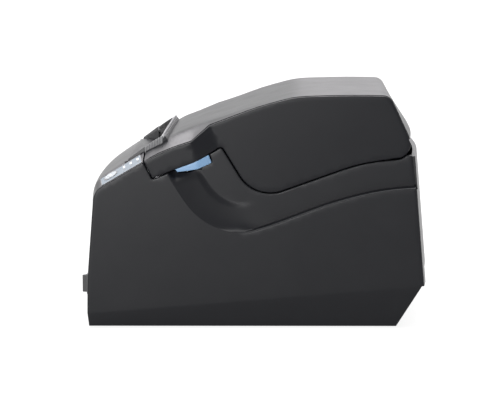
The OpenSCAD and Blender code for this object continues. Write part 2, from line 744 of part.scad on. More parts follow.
// The platen's gear has a tooth gap where the idler has a tooth
up_angle = atan2(lift[1], lift[0]);
idler_tooth = round((up_angle - idler_phase) / (360 / idler_teeth)) * 360 / idler_teeth + idler_phase;
platen_phase = up_angle + 180 + 180 / platen_teeth
    + (up_angle - idler_tooth) * idler_teeth / platen_teeth;
module platen_gear() {
    color("#e4e2da") gear(-gear_x - gear_w, gear_w, platen_teeth, platen_at, platen_phase, shaft_d);
}
module gear_cover() {
    x1 = -gear_x - gear_w - 1;
    color("#3c3d40") difference() {
        union() {
            slab(x1 - 1.5, x1, [
                [exit_y + 2, chassis_z + plate_t + 4], [exit_y + 38, chassis_z + plate_t + 4],
                [exit_y + 38, idler_at[1] + 6], [exit_y + 26, idler_at[1] + 15],
                [exit_y + 8, idler_at[1] + 8]
            ]);
            for (y = [exit_y + 5, exit_y + 35])
                rod(x1 - 1, -plate_x - plate_t, 5, [y, chassis_z + plate_t + 8]);
        }
        rod(x1 - 3, x1 + 1, 4.2, idler_at);
    }
}

/* Paper cutter: a blade with a rack slides across the paper path */
blade_z = -10;
blade_t = 0.8;
blade_x = paper_w / 2 + 1;
rack_x = blade_x - 6;
cut_pitch_r = rack_m * cut_teeth / 2;
cut_at = [rack_x - 2 - cut_pitch_r, -11.2];
module cutter_housing() {
    color("#2f3033") path_frame() difference() {
        box([-plate_x + 0.2, plate_x - 0.2], [-19.5, -3.2], [blade_z - 3.4, blade_z + 2.8]);
        box([-blade_x - fit, blade_x + fit], [-18.3, 0],
            [blade_z - blade_t / 2 - fit, blade_z + blade_t / 2 + 0.8 + fit]);
        translate([cut_at[0], cut_at[1], blade_z - 5]) cylinder(d = 2.4, h = 4.5);
    }
}
module cutter_blade() {
    color("#c8cacd") path_frame() {
        translate([0, 0, blade_z - blade_t / 2]) difference() {
            linear_extrude(blade_t) polygon([
                [-blade_x, -8.6], [blade_x, -8.6], [blade_x, -1.5], [0, -2.6], [-blade_x, -1.5]
            ]);
            // room for the pinion
            translate([cut_at[0] - cut_pitch_r - 2, -20, -1])
                cube([2 * cut_pitch_r + 3.4, 16, 3]);
        }
        // rack
        translate([rack_x, -8.6, blade_z - blade_t / 2]) linear_extrude(blade_t + 0.8) polygon(concat(
            [[2.5, 4], [2.5, -9.2], [-0.7, -9.2]],
            [for (i = [-4:0]) each rack_tooth(i)],
            [[-0.7, 4]]
        ));
    }
}
function rack_tooth(i) =
    let (p = PI * rack_m, y = i * p + cut_at[1] + 8.6 + p / 2, a = tan(20) * rack_m)
    [[-2 + rack_m * 1.2, y - p / 4 - a + 0.04], [-2 - rack_m * 0.9 + 0.05, y - p / 4 + a * 0.9 + 0.06],
        [-2 - rack_m * 0.9 + 0.05, y + p / 4 - a * 0.9 - 0.06], [-2 + rack_m * 1.2, y + p / 4 + a - 0.04]];
module cutter_pinion() {
    color("#d6cfae") path_frame() {
        translate([cut_at[0], cut_at[1], blade_z - blade_t / 2])
            linear_extrude(blade_t + 0.8) cut_gear();
        translate([cut_at[0], cut_at[1], blade_z - 3.3]) cylinder(d = 1.8, h = 4);
    }
}
module cut_gear() {
    gear_2d(rack_m, cut_teeth, 0.05);
}
module cutter_motor() {
    color("#8a8d91") path_frame() translate([cut_at[0], cut_at[1], 0]) {
        translate([0, 0, blade_z - 3.4 - 14]) cylinder(d = 6, h = 14);
        translate([0, 0, blade_z - 3.4 - 15]) cylinder(d = 2, h = 1);
    }
}
module paper_sensor() {
    color("#232426") paper_sensor_box(0);
}
module paper_sensor_box(gap) {
    y = roll_at[0] - roll_r;
    box([8 - gap, 20 + gap], [y - 9 - gap, y - 4 + gap], [deck_z - 14 - gap, deck_z - 11.4 + gap]);
}

// Strike that the cover lever's hook reaches under
catch_y = [exit_y + 28, exit_y + 33];
catch_z = exit_z - 13;
hook_x = half_w - 15;
module latch_catch() {
    color("#aeb1b4") {
        box([plate_x + plate_t, hook_x - 1.9 - fit], [catch_y[0], catch_y[1]], [catch_z, catch_z + 2]);
        box([plate_x + plate_t, plate_x + 2 * plate_t], [catch_y[0], catch_y[1]],
            [catch_z - 8, catch_z + 2]);
    }
}

/* Electronics on the base */
board_t = 1.6;
module main_board() {
    color("#1f5a33") difference() {
        box([-board_x, board_x], board_y, [board_z, board_z + board_t]);
        board_corners() translate([0, 0, board_z - 1]) cylinder(d = screw_d + 0.3, h = 4);
    }
}
module board_screws() {
    color("#8b8d90") board_corners()
        translate([0, 0, board_z + board_t]) mirror([0, 0, 1]) screw(screw_d, 5);
}
module board_parts() {
    z = board_z + board_t;
    color("#1b1c1e") {
        box([-34, -20], [board_y[0] + 10, board_y[0] + 24], [z, z + 1.6]);
        box([-6, 5], [board_y[0] + 8, board_y[0] + 26], [z, z + 1.4]);
        box([22, 34], [board_y[0] + 8, board_y[0] + 14], [z, z + 5]);
        for (x = [-46, -38, 45]) translate([x, board_y[0] + 14, z]) cylinder(d = 6.3, h = 8);
        for (x = [12:4:40]) box([x, x + 2], [board_y[0] + 30, board_y[0] + 33], [z, z + 0.9]);
    }
}

// Sockets stand on the board's rear edge, with their mouths towards +Y
socket_y = board_y[1] - 2;
plate_y = board_y[1] + 2.2;
module socket(x, size, mouth, depth) {
    z = board_z + board_t;
    difference() {
        box([x - size[0] / 2, x + size[0] / 2], [plate_y - 0.2 - size[1], plate_y - 0.2],
            [z, z + size[2]]);
        box([x - mouth[0] / 2, x + mouth[0] / 2], [plate_y - 0.2 - depth, plate_y + 1],
            [z + (size[2] - mouth[1]) / 2, z + (size[2] + mouth[1]) / 2]);
    }
}
dc_x = -40;
drawer_x = -17;
usb_x = 4;
serial_x = 35;
module power_inlet() {
    z = board_z + board_t + 7.5;
    color("#1c1c1e") {
        difference() {
            box([dc_x - 8, dc_x + 8], [plate_y - 15.2, plate_y - 0.2], [board_z + board_t, z + 7.5]);
            translate([dc_x, plate_y + 1, z]) rotate([90, 0, 0]) cylinder(d = 12, h = 10);
        }
        for (a = [90, 210, 330]) translate([dc_x + 3.3 * cos(a), plate_y - 9, z + 3.3 * sin(a)])
            rotate([-90, 0, 0]) cylinder(d = 1.4, h = 6);
    }
}
module drawer_socket() {
    color("#242527") socket(drawer_x, [15, 15, 14], [11, 9], 11);
}
module usb_socket() {
    color("#b9bcbf") socket(usb_x, [12, 16, 11], [9.6, 8.4], 10);
    color("#e6e6e2") box([usb_x - 2.8, usb_x + 2.8], [plate_y - 11, plate_y - 3],
        [board_z + board_t + 3.9, board_z + board_t + 7.1]);
}
module serial_socket() {
    z = board_z + board_t + 6.5;
    color("#a9acb0") difference() {
        union() {
            box([serial_x - 15.5, serial_x + 15.5], [plate_y - 12, plate_y - 0.2], [z - 6.5, z + 6.5]);
            box([serial_x - 8.6, serial_x + 8.6], [plate_y - 4, plate_y + 4.4], [z - 4.4, z + 4.4]);
        }
        box([serial_x - 7.6, serial_x + 7.6], [plate_y - 5, plate_y + 6], [z - 3.5, z + 3.5]);
    }
}
module interface_plate() {
    z = board_z + board_t;
    color("#b2b5b8") difference() {
        box([-cable_x + 0.5, cable_x - 0.5], [plate_y, plate_y + 1], [7, 33]);
        translate([dc_x, plate_y + 5, z + 7.5]) rotate([90, 0, 0]) cylinder(d = 13.4, h = 10);
        box([drawer_x - 6.2, drawer_x + 6.2], [plate_y - 1, plate_y + 2], [z + 1.8, z + 12.2]);
        box([usb_x - 5.4, usb_x + 5.4], [plate_y - 1, plate_y + 2], [z + 0.6, z + 10.4]);
        box([serial_x - 9, serial_x + 9], [plate_y - 1, plate_y + 2], [z + 1.7, z + 11.3]);
        for (x = plate_screw_xs) translate([x, plate_y + 2, 29]) rotate([90, 0, 0])
            cylinder(d = screw_d + 0.3, h = 4);
    }
}
plate_screw_xs = [-cable_x + 5, cable_x - 5];
module plate_screws() {
    color("#8b8d90") for (x = plate_screw_xs) translate([x, plate_y + 1, 29])
        rotate([90, 0, 0]) screw(screw_d, 5);
}
module buzzer() {
    color("#151516") difference() {
        translate([-36, board_y[0] + 36, board_z + board_t]) cylinder(d = 12, h = 5.4);
        translate([-36, board_y[0] + 36, board_z + board_t + 4]) cylinder(d = 2, h = 3);
    }
}
// Flat cable from the head down to the board
module head_cable() {
    route = [
        on_path(-9, -path_l - 11), on_path(-10, -path_l - 22), [exit_y + 5, motor_at[1] - 8],
        [exit_y + 9, chassis_z + 12], [chassis_y[1] + 3, chassis_z + 12],
        [board_y[0] + 5, board_z + board_t + 0.2]
    ];
    color("#d9d6cc") slab(-9, 9, concat(shifted(route, 0.2), mirrored(shifted(route, -0.2))));
}

/* Operator controls */
module panel_board() {
    color("#1f5a33") shoulder_frame() union() {
        box([-panel_w / 2 - 1.5, panel_w / 2], [-panel_l / 2 + 1, -1], [-board_drop - 1.2, -board_drop]);
        box([-panel_w / 2 + 0.7, panel_w / 2], [-2, panel_l / 2 - 1], [-board_drop - 1.2, -board_drop]);
    }
}
button_y = -panel_l / 2 + 2 + button_l / 2;
module pill(w, l, z0, z1) {
    for (s = [-1, 1]) translate([0, s * (l - w) / 2, z0]) cylinder(d = w, h = z1 - z0);
    translate([-w / 2, -(l - w) / 2, z0]) cube([w, l - w, z1 - z0]);
}
button_w = 5.4;
module indicator_panel() {
    color([0.62, 0.74, 0.8]) shoulder_frame() difference() {
        box([-panel_w / 2 + 0.1, panel_w / 2 - 0.1], [-panel_l / 2 + 0.1, panel_l / 2 - 0.1],
            [-1.2, 0.15]);
        translate([0, button_y, 0]) pill(button_w + 2 * fit, button_l + 2 * fit, -2, 1);
    }
}
module indicator_lights() {
    color("#dfe8ea") shoulder_frame() for (i = [0:2])
        translate([0, button_y + 9 + i * 4.6, 0]) {
            translate([-1.2, -0.8, -board_drop]) cube([2.4, 1.6, 0.9]);
            translate([0, 0, -board_drop]) cylinder(d = 1.5, h = board_drop - 1.5);
        }
}
module feed_button() {
    color([0.72, 0.82, 0.87]) shoulder_frame() translate([0, button_y, 0]) {
        pill(button_w, button_l, -1.2, 0.35);
        translate([0, 0, -2.4]) cylinder(d = 2.6, h = 2);
    }
}
module feed_switch() {
    color("#2a2b2d") shoulder_frame() translate([0, button_y, 0]) {
        translate([-2.2, -2.2, -board_drop]) cube([4.4, 4.4, board_drop - 3.9 - button_travel + 0.9]);
    }
}
// Horizontal rocker near the bottom of the front
rocker_l = switch_l - 5;
rocker_h = switch_h - 3.6;
rocker_pin = [switch_at[0], switch_face + 3.4];
module switch_bezel() {
    x = [switch_at[0] - switch_l / 2 + 1.5, switch_at[0] + switch_l / 2 - 1.5];
    z = [switch_at[1] - switch_h / 2 + 1.5, switch_at[1] + switch_h / 2 - 1.5];
    color("#222224") difference() {
        union() {
            box(x, [switch_face - 0.2, switch_face + 15], z);
            box([x[0] + 2, x[1] - 2], [switch_face + 15, switch_face + 18], [z[0] + 3, z[1] - 3]);
        }
        box([x[0] + 1, x[1] - 1], [switch_face - 1, switch_face + 8], [z[0] + 1, z[1] - 1]);
        translate([rocker_pin[0], rocker_pin[1], z[0] - 1]) cylinder(d = 1.6 + 2 * run, h = far / 10);
    }
}
module power_rocker() {
    h = rocker_h / 2 - 0.7;
    color("#17181a") translate([rocker_pin[0], rocker_pin[1], switch_at[1]]) {
        translate([0, 0, -h]) linear_extrude(2 * h) polygon([
            [-rocker_l / 2 + 0.8, -2.6], [0, -2.4], [rocker_l / 2 - 2.1, -6.3],
            [rocker_l / 2 - 0.8, -2.4], [2.5, 2.2], [-2.5, 2.2], [-rocker_l / 2 + 0.8, 1.4]
        ]);
        translate([0, 0, -h - 1]) cylinder(d = 1.6, h = 2 * h + 2);
    }
}

/* Cover */
module hinge_pins() {
    color("#c2c4c7") both() rod(lug_x - 4.5, lug_x + 4, hinge_d, [hinge_y, hinge_z]);
}
swing_r = hinge_z - exit_z - 1.4;
// Height of the case's rear wall below the hinge axis
hinge_drop = 8;
module behind_hinge(x0, x1) {
    // leaves only what turns past the case's rear edge
    difference() {
        box([x0, x1], [hinge_y, far], [exit_z - 40, hinge_z]);
        rod(x0 - 1, x1 + 1, 2 * swing_r, [hinge_y, hinge_z]);
    }
}
// Strip under the roof, between two depths
function under(y0, y1, d0, d1) = concat(
    [for (i = [0:8]) let (y = y0 + (y1 - y0) * i / 8) [y, high_z(y) - skin_t - d0]],
    [for (i = [8:-1:0]) let (y = y0 + (y1 - y0) * i / 8) [y, high_z(y) - skin_t - d1]]
);
module cover_shell() {
    knuckle_x = lug_x - 4.5;
    color("#323337") {
        difference() {
            both() union() {
                slab(inner_w - wall, inner_w, concat([[full_y, exit_z - 40], [full_y, high_z(full_y)]],
                    [for (p = top_edge) if (p[0] > full_y) p], [[rear_y - 4, exit_z - 40]]));
                slab(inner_w - wall, half_w, cover_wing);
                facet();
            }
            slab(-far, far, concat(shifted(rounded(cover_line), seam),
                [[rear_y + 10, 0], [exit_y - 20, 0], [exit_y - 20, far]]));
            roof_rebate();
            behind_hinge(-far, far);
            // slot and bore for the lever's ear and pin
            lever_frame() {
                box([-1.9 - run, 2.1 + run], [ear_y[0] - fit, ear_y[1] + fit], [-9, 1.9 + run]);
                translate([0, ear_y[0] - 2.5, 0]) rotate([-90, 0, 0])
                    cylinder(d = lever_pin_d, h = ear_y[1] - ear_y[0] + 5);
            }
            // room for the lever's arm behind the block
            box([0, pin_x - 2.2], [catch_y[0] - 0.4, catch_y[1] + 0.4], [0, exit_z - 1]);
        }
        // knuckles on the hinge pins, hung from the roof beams
        both() difference() {
            union() {
                rod(knuckle_x, lug_x - 0.4, 10, [hinge_y, hinge_z]);
                slab(knuckle_x, lug_x - 0.4, [
                    [hinge_y - 5, hinge_z], [hinge_y - 20, top_z - 7], [hinge_y - 6, top_z - 5],
                    [hinge_y + 5, hinge_z]
                ]);
            }
            rod(knuckle_x - 1, lug_x, hinge_d + 2 * run, [hinge_y, hinge_z]);
        }
        slab(-inner_w + 1.7, inner_w - 1.7, under(hinge_y - 20, hinge_y - 16, 0.1, 7));
        slab(-inner_w + 1.7, inner_w - 1.7, under(beam_y, beam_y + 4, 0.1, 4.3));
        both() slab(inner_w - wall - 6, inner_w - wall + 0.5,
            under(beam_y, hinge_y - 16, 0.1, 2.6));
    }
}
beam_y = full_y + 4;
// Space for the top panel, cut out of the cover's sides
module roof_rebate() {
    edge = concat([[full_y - 0.8, high_z(full_y - 0.8)]],
        [for (p = top_edge) if (p[0] > full_y && p[1] > hinge_z + 1) p]);
    under_skin = shifted(edge, -skin_t - 0.1);
    intersection() {
        roof(fit, far / 3, skin_t + 0.1);
        box([-far, far], [-far, full_y - 0.3], [0, far]);
    }
    slab(-roof_x - fit, roof_x + fit, concat(under_skin, [
        under_skin[len(under_skin) - 1] + [20, 3], [rear_y + 20, far], [under_skin[0][0], far]
    ]));
}
// Slanted face between the wide front of the cover and its narrower rear
module facet() {
    a = [half_w, rise_y, low_z(rise_y)];
    b = [half_w, exit_y + 30.6, exit_z + 1];
    c = [inner_w, horn_top[0] - 2.2, horn_top[1] + 0.5];
    d = [inner_w, full_y + 0.5, high_z(full_y + 0.5)];
    x = inner_w - wall;
    polyhedron([a, b, c, d, [x, a[1], a[2]], [x, b[1], b[2]], [x, c[1], c[2]], [x, d[1], d[2]]], [
        [0, 2, 1], [0, 3, 2], [4, 5, 6], [4, 6, 7], [0, 5, 4], [0, 1, 5],
        [1, 6, 5], [1, 2, 6], [2, 7, 6], [2, 3, 7], [3, 4, 7], [3, 0, 4]
    ]);
}

// Top skin: crowned wings in front, flat to the side edges behind
roof_ys = concat([exit_y + seam - 0.1, exit_y + 6, exit_y + 12.7, exit_y + 20, rise_y,
    exit_y + 33, full_y], [for (p = top_edge) if (p[0] > full_y + 2 && p[1] > hinge_z + 1) p[0]]);
function mid_z(y) = max(high_z(max(y, exit_y + 12.7)) - max(0, exit_y + 12.7 - y) * 0.5,
    low_z(y) + crown / cos(slope));
function rising(y) = max(0, min(1, (y - rise_y) / (full_y - rise_y)));
roof_path = concat([for (y = roof_ys) if (y < full_y + 1) [y, mid_z(y)]],
    [for (p = top_edge) if (p[0] > full_y + 2 && p[1] > hinge_z + 1) p]);
function edge_x(y) = skin_x + (roof_x - skin_x) * rising(y);
function drop_at(y, x) =
    let (z = low_z(y) + (high_z(full_y) - low_z(rise_y)) * rising(y))
    y >= full_y ? 0 : (mid_z(y) - z) * max(0, (abs(x) - notch_x) / (edge_x(y) - notch_x));
rear_z0 = top_z - 6;
module roof(wider, above, below) {
    skin(roof_path, [for (p = roof_path) edge_x(p[0]) + wider],
        [for (p = roof_path) [for (x = across(edge_x(p[0])))
            above + (p[0] < full_y + 1 ? -drop_at(p[0], x)
            : p[1] < rear_z0 && p[0] > 0
                ? bulge_at(x) * min(1, (rear_z0 - p[1]) / 20) : 0)]],
        [for (i = [0:len(roof_path) - 1])
            roof_path[i][0] < full_y + 1 ? [0, 1] : normal_at(roof_path, i)], above + below);
}
module cover_top_panel() {
    color("#3f4044") difference() {
        union() {
            difference() {
                roof(0, 0, skin_t);
                slab(-notch_x, notch_x, notch);
            }
            // wall behind the paper, up to the ridge, and the ends of the notch
            slab(-notch_x - 1, notch_x + 1, [
                notch_floor, ridge, ridge + [2, -2.7], ridge + [1.5, -5], notch_floor + [2.6, -0.6]
            ]);
            both() slab(notch_x, notch_x + 1.8, [
                [exit_y + seam, exit_z - 3], notch_floor + [2.6, -2], ridge + [1.5, -4],
                [exit_y + 6, mid_z(exit_y + 6) - 1], [exit_y + seam, mid_z(exit_y + seam) - 1]
            ]);
        }
        both() behind_hinge(inner_w - wall - 2, far);
        // slots that pass over the case's lugs
        both() box([lug_x - 0.6, lug_x + 3.6], [hinge_y, far], [0, hinge_z - 1]);
        box([-far, far], [hinge_y, far], [0, hinge_z - hinge_drop / 2]);
    }
}
// Liner under the roof, on the shell's beams
module cover_liner() {
    color("#2b2c2f") difference() {
        slab(-inner_w + wall + 7, inner_w - wall - 7, under(beam_y - 2, hinge_y - 20.05, 4.35, 5.85));
    }
}
// Toothed steel bar at the ridge of the notch
bar_l = 2 * notch_x - 1;
tooth_p = 1.6;
module ridge_frame() {
    translate([0, notch_floor[0], notch_floor[1]]) rotate([ridge_angle, 0, 0]) children();
}
ridge_l = norm(ridge - notch_floor);
module tear_bar() {
    color("#a8abae") ridge_frame() translate([-bar_l / 2, ridge_l - 5.2, 0.05]) {
        linear_extrude(0.8) polygon(concat([[bar_l, 0], [0, 0]],
            [for (i = [0:floor(bar_l / tooth_p) - 1])
                each [[i * tooth_p, 4.4], [(i + 0.5) * tooth_p, 5.6]]], [[bar_l, 4.4]]));
    }
}
blade_top = blade_z + 1.6;
module fixed_blade() {
    color("#c8cacd") path_frame()
        box([-blade_x - 1, blade_x + 1], [1.2, 11], [blade_z + blade_t / 2 + fit, blade_top]);
}
bracket_z = exit_z + 3;
module platen_bracket() {
    color("#9da1a5") difference() {
        union() {
            both() slab(arm_x - plate_t, arm_x, [
                platen_at + [-3, -6], platen_at + [5, -6], [exit_y + 31, exit_z - 8],
                [exit_y + 31, bracket_z], [exit_y + 13, bracket_z], on_path(2.4, -6),
                platen_at + [-5.5, 0]
            ]);
            box([-arm_x, arm_x], [exit_y + 13, exit_y + 31], [bracket_z - plate_t, bracket_z]);
            // ledges that carry the fixed blade's ends
            path_frame() both() box([blade_x - 3, arm_x], [6.5, 11], [blade_top, blade_top + 1.5]);
        }
        rod(-far, far, bush_d - 2, platen_at);
        for (x = bracket_xs) translate([x, exit_y + 22, bracket_z - 3])
            cylinder(d = screw_d + 0.3, h = 6);
    }
}
bush_d = slot_w;
bracket_xs = [-30, 30];
module bracket_screws() {
    color("#8b8d90") for (x = bracket_xs)
        translate([x, exit_y + 22, bracket_z - plate_t]) screw(screw_d, 5);
}
module platen_bushes() {
    color("#d8d5cb") both() difference() {
        union() {
            rod(arm_x - plate_t, arm_x, bush_d - 2, platen_at);
            rod(arm_x, plate_x + plate_t + 0.6, bush_d, platen_at);
        }
        rod(0, far, shaft_d + 2 * run, platen_at);
    }
}
module platen_shaft() {
    color("#c2c4c7") rod(-gear_x - gear_w - 0.8, plate_x + plate_t + 1.4, shaft_d, platen_at);
}
module platen_roller() {
    color("#202022") difference() {
        rod(-platen_l / 2, platen_l / 2, platen_d, platen_at);
        rod(-far, far, shaft_d, platen_at);
    }
}

/* Cover release lever */
lever_u = unit(lever_rear - lever_front);
lever_axis = lever_front + 2.2 * [-lever_u[1], lever_u[0]];
pin_x = half_w - 3.4;
ear_y = [5, 9];
module lever_frame() {
    translate([pin_x, lever_axis[0], lever_axis[1]])
        rotate([atan2(lever_u[1], lever_u[0]), 0, 0]) children();
}
module cover_lever() {
    tab = [
        [lever_front[0] + 0.5, lever_front[1] - 0.1], [exit_y + 20.8, exit_z - 5.5],
        [exit_y + 25.8, exit_z - 5.3], [exit_y + 31.6, exit_z - 3.5],
        [lever_rear[0] + 1.2, exit_z - 0.3], [lever_rear[0] - 0.1, lever_rear[1] - 0.9],
        [exit_y + 29.4, exit_z - 1.2 - fit]
    ];
    y = [catch_y[0] + 0.5, catch_y[1] - 0.5];
    color("#8fb4e0") difference() {
        union() {
            difference() {
                slab(half_w - 3.2, half_w, tab);
                // the rear half turns inwards
                translate([half_w, exit_y + 31, 0]) rotate([0, 0, 9]) box([0, 5], [0, 30], [0, far]);
            }
            lever_frame() box([-1.5, 1.5], ear_y, [-4.4, 1.5]);
            box([hook_x - 1.5, half_w - 2.8], y, [exit_z - 2.9, exit_z - 1.5]);
            box([hook_x - 1.5, hook_x], y, [catch_z - 2.2, exit_z - 1.5]);
            box([hook_x - 1.9, hook_x], y, [catch_z - 2.2, catch_z - 0.5]);
        }
        lever_frame() translate([0, ear_y[0] - 1, 0]) rotate([-90, 0, 0])
            cylinder(d = lever_pin_d + 2 * run, h = ear_y[1] - ear_y[0] + 2);
    }
}
module lever_pin() {
    color("#c2c4c7") lever_frame() translate([0, ear_y[0] - 2.5, 0]) rotate([-90, 0, 0])
        cylinder(d = lever_pin_d, h = ear_y[1] - ear_y[0] + 5);
}
module lever_spring() {
    color("#a9acb0") translate([hook_x - 0.75, (catch_y[0] + catch_y[1]) / 2, exit_z - 1.3])
        coil(3.6, 0.5, 4, 5);
}

main_case();
front_panel();
base_tray();
rubber_feet();
case_screws();
roll_bucket();
near_end_lever();
near_end_sensor();
chassis();
chassis_screws();
head_heatsink();
head_ceramic();
head_pivot_shaft();
head_springs();
feed_motor();
motor_pinion();
idler_gear();
idler_stud();
gear_cover();
cutter_housing();
cutter_blade();
cutter_pinion();
cutter_motor();
paper_sensor();
latch_catch();
main_board();
board_screws();
board_parts();
power_inlet();
drawer_socket();
usb_socket();
serial_socket();
interface_plate();
plate_screws();
buzzer();
head_cable();
panel_board();
indicator_panel();
indicator_lights();
feed_button();
feed_switch();
switch_bezel();
power_rocker();
hinge_pins();
cover_shell();
cover_top_panel();
cover_liner();
tear_bar();
fixed_blade();
platen_bracket();
bracket_screws();
platen_bushes();
platen_shaft();
platen_roller();
platen_gear();
cover_lever();
lever_pin();
lever_spring();
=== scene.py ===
"""Looks of a thermal receipt printer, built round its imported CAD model.

Lengths are millimetres in the row frame until a mesh is made: +X is the user's right, -Y the
front, +Z up. The outer skins are modelled meshes, and the parts inside keep their CAD shapes.
"""
import json
import math

import bmesh
import bpy
import numpy as np
from mathutils import Matrix, Vector
from mathutils.geometry import delaunay_2d_cdt


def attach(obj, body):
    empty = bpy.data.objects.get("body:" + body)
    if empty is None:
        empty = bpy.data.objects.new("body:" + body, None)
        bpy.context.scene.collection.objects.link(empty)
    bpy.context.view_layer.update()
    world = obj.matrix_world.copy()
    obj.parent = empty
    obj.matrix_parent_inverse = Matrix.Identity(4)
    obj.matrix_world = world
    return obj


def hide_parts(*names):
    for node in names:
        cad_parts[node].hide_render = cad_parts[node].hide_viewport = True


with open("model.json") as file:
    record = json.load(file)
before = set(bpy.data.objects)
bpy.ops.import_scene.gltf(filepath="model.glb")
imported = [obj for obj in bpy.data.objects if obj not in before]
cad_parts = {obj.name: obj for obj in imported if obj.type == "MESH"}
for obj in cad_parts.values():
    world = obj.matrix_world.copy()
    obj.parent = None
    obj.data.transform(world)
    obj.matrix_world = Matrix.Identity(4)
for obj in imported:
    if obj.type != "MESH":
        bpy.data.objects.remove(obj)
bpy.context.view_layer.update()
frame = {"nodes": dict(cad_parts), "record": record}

MM = 0.001

# ---------------------------------------------------------------- sizes
# Driving sizes, as in the CAD
HALF_W = 72.5
INNER_W = 68.0
STEP = HALF_W - INNER_W
FRONT_Y = -97.5
REAR_Y = 97.5
TOP_Z = 135.0
BODY_Z = 1.2
EXIT_Y = FRONT_Y + 33.3
EXIT_Z = TOP_Z - 38.0
HINGE_Y = REAR_Y - 17.5
HINGE_Z = TOP_Z - 27.0
SWING_R = HINGE_Z - EXIT_Z - 1.4
SEAM = 0.7
BULGE = 3.8
CROWN = 5.0
WALL = 2.5
RISE_Y = EXIT_Y + 27.5
FULL_Y = EXIT_Y + 37.8
NOTCH_X = 57.0
# The skins of the front and the roof lie between rims of the sides, in a rebate
RIM = 1.3
SKIN_X = HALF_W - RIM
ROOF_X = INNER_W - RIM
SKIN_T = 2.2
FIT = 0.42
REBATE = SKIN_T + FIT
GROOVE = 0.3
GRID = 2.6
LINE_STEP = 1.6


# ---------------------------------------------------------------- plane curves
def rounded(path, turn=6.0):
    """Points of an open path of (y, z, radius) corners, with arcs of one point per turn degrees."""
    out = [path[0][:2]]
    for a, b, c in zip(path, path[1:], path[2:]):
        a, b, c, radius = np.array(a[:2]), np.array(b[:2]), np.array(c[:2]), b[2]
        u, v = (b - a) / np.linalg.norm(b - a), (c - b) / np.linalg.norm(c - b)
        half = math.acos(max(-1, min(1, u @ v))) / 2
        if radius == 0 or half < 0.004:
            out.append(tuple(b))
            continue
        side = math.copysign(1, u[0] * v[1] - u[1] * v[0])
        middle = b - u * radius * math.tan(half) + np.array([-u[1], u[0]]) * side * radius
        steps = max(2, math.ceil(math.degrees(2 * half) / turn))
        start = math.atan2(u[1], u[0]) - side * math.pi / 2
        for i in range(steps + 1):
            t = start + side * 2 * half * i / steps
            out.append(tuple(middle + radius * np.array([math.cos(t), math.sin(t)])))
    out.append(path[-1][:2])
    return out


def resampled(path, step):
    """The same path with a point at least every step, keeping its corners."""
    out = [path[0]]
    for a, b in zip(path, path[1:]):
        n = max(1, math.ceil(math.dist(a, b) / step))
        out += [(a[0] + (b[0] - a[0]) * i / n, a[1] + (b[1] - a[1]) * i / n)
                for i in range(1, n + 1)]
    return out


def spline(points, step):
    """A smooth curve through the points."""
    p = [np.array(q, float) for q in points]
    p = [2 * p[0] - p[1]] + p + [2 * p[-1] - p[-2]]
    out = []
    for a, b, c, d in zip(p, p[1:], p[2:], p[3:]):
        n = max(1, math.ceil(np.linalg.norm(c - b) / step))
        for i in range(n):
            t = i / n
            out.append(tuple(0.5 * (2 * b + (c - a) * t + (2 * a - 5 * b + 4 * c - d) * t * t
                                    + (3 * b - a - 3 * c + d) * t ** 3)))
    out.append(tuple(p[-2]))
    return out


def shifted(path, d):
    """The path moved to the left of its direction by d."""
    p = np.array(path, float)
    u = np.diff(p, axis=0)
    u /= np.linalg.norm(u, axis=1)[:, None]
    before, after = np.vstack([u[:1], u]), np.vstack([u, u[-1:]])
    m = before + after
    m = np.stack([-m[:, 1], m[:, 0]], 1)
    m /= np.linalg.norm(m, axis=1)[:, None]
    scale = np.einsum("ij,ij->i", m, np.stack([-before[:, 1], before[:, 0]], 1))
    return [tuple(q) for q in p + m * (d / np.maximum(scale, 0.4))[:, None]]


def signed_distance(points, path):
    """How far each point lies to the left of the path (negative on its right)."""
    pts, p = np.asarray(points, float), np.asarray(path, float)
    a, ab = p[:-1], np.diff(p, axis=0)
    best, sign = np.full(len(pts), 1e9), np.ones(len(pts))
    for start, along in zip(a, ab):
        rel = pts - start
        t = np.clip(rel @ along / (along @ along), 0, 1)
        gap = rel - t[:, None] * along
        dist = np.hypot(gap[:, 0], gap[:, 1])
        near = dist < best - 1e-9
        best[near] = dist[near]
        sign[near] = np.sign(along[0] * rel[near, 1] - along[1] * rel[near, 0])
    return best * np.where(sign == 0, 1, sign)


def inside(points, outline):
    """Which of the points lie inside a closed outline."""
    pts, p = np.asarray(points, float), np.asarray(outline, float)
    hit = np.zeros(len(pts), bool)
    for a, b in zip(p, np.roll(p, -1, axis=0)):
        crosses = (a[1] > pts[:, 1]) != (b[1] > pts[:, 1])
        with np.errstate(divide="ignore", invalid="ignore"):
            at = (b[0] - a[0]) * (pts[:, 1] - a[1]) / (b[1] - a[1]) + a[0]
        hit ^= crosses & (pts[:, 0] < at)
    return hit


def smooth(t):
    t = np.clip(t, 0, 1)
    return t * t * (3 - 2 * t)


# ---------------------------------------------------------------- meshes
def raw_mesh(name, verts, faces):
    """Blender's mesh of points given in millimetres."""
    mesh = bpy.data.meshes.new(name)
    mesh.from_pydata([tuple(c * MM for c in v) for v in verts], [],
                     [tuple(map(int, f)) for f in faces])
    return mesh


def linked(name, data):
    obj = bpy.data.objects.new(name, data)
    bpy.context.scene.collection.objects.link(obj)
    return obj


def piece(name, solid, body, slot_name, stands_for=(), sharp=30, look=None):
    """A piece that rides on a body, in the material of its slot or in another look."""
    mesh = raw_mesh(name, *solid)
    mesh.validate()
    mesh.update()
    mesh.shade_smooth()
    mesh.set_sharp_from_angle(angle=math.radians(sharp))
    obj = linked(name, mesh)
    obj.data.materials.append(MATERIALS[look or slot_name])
    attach(obj, body)
    if stands_for:
        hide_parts(*stands_for)
    return obj


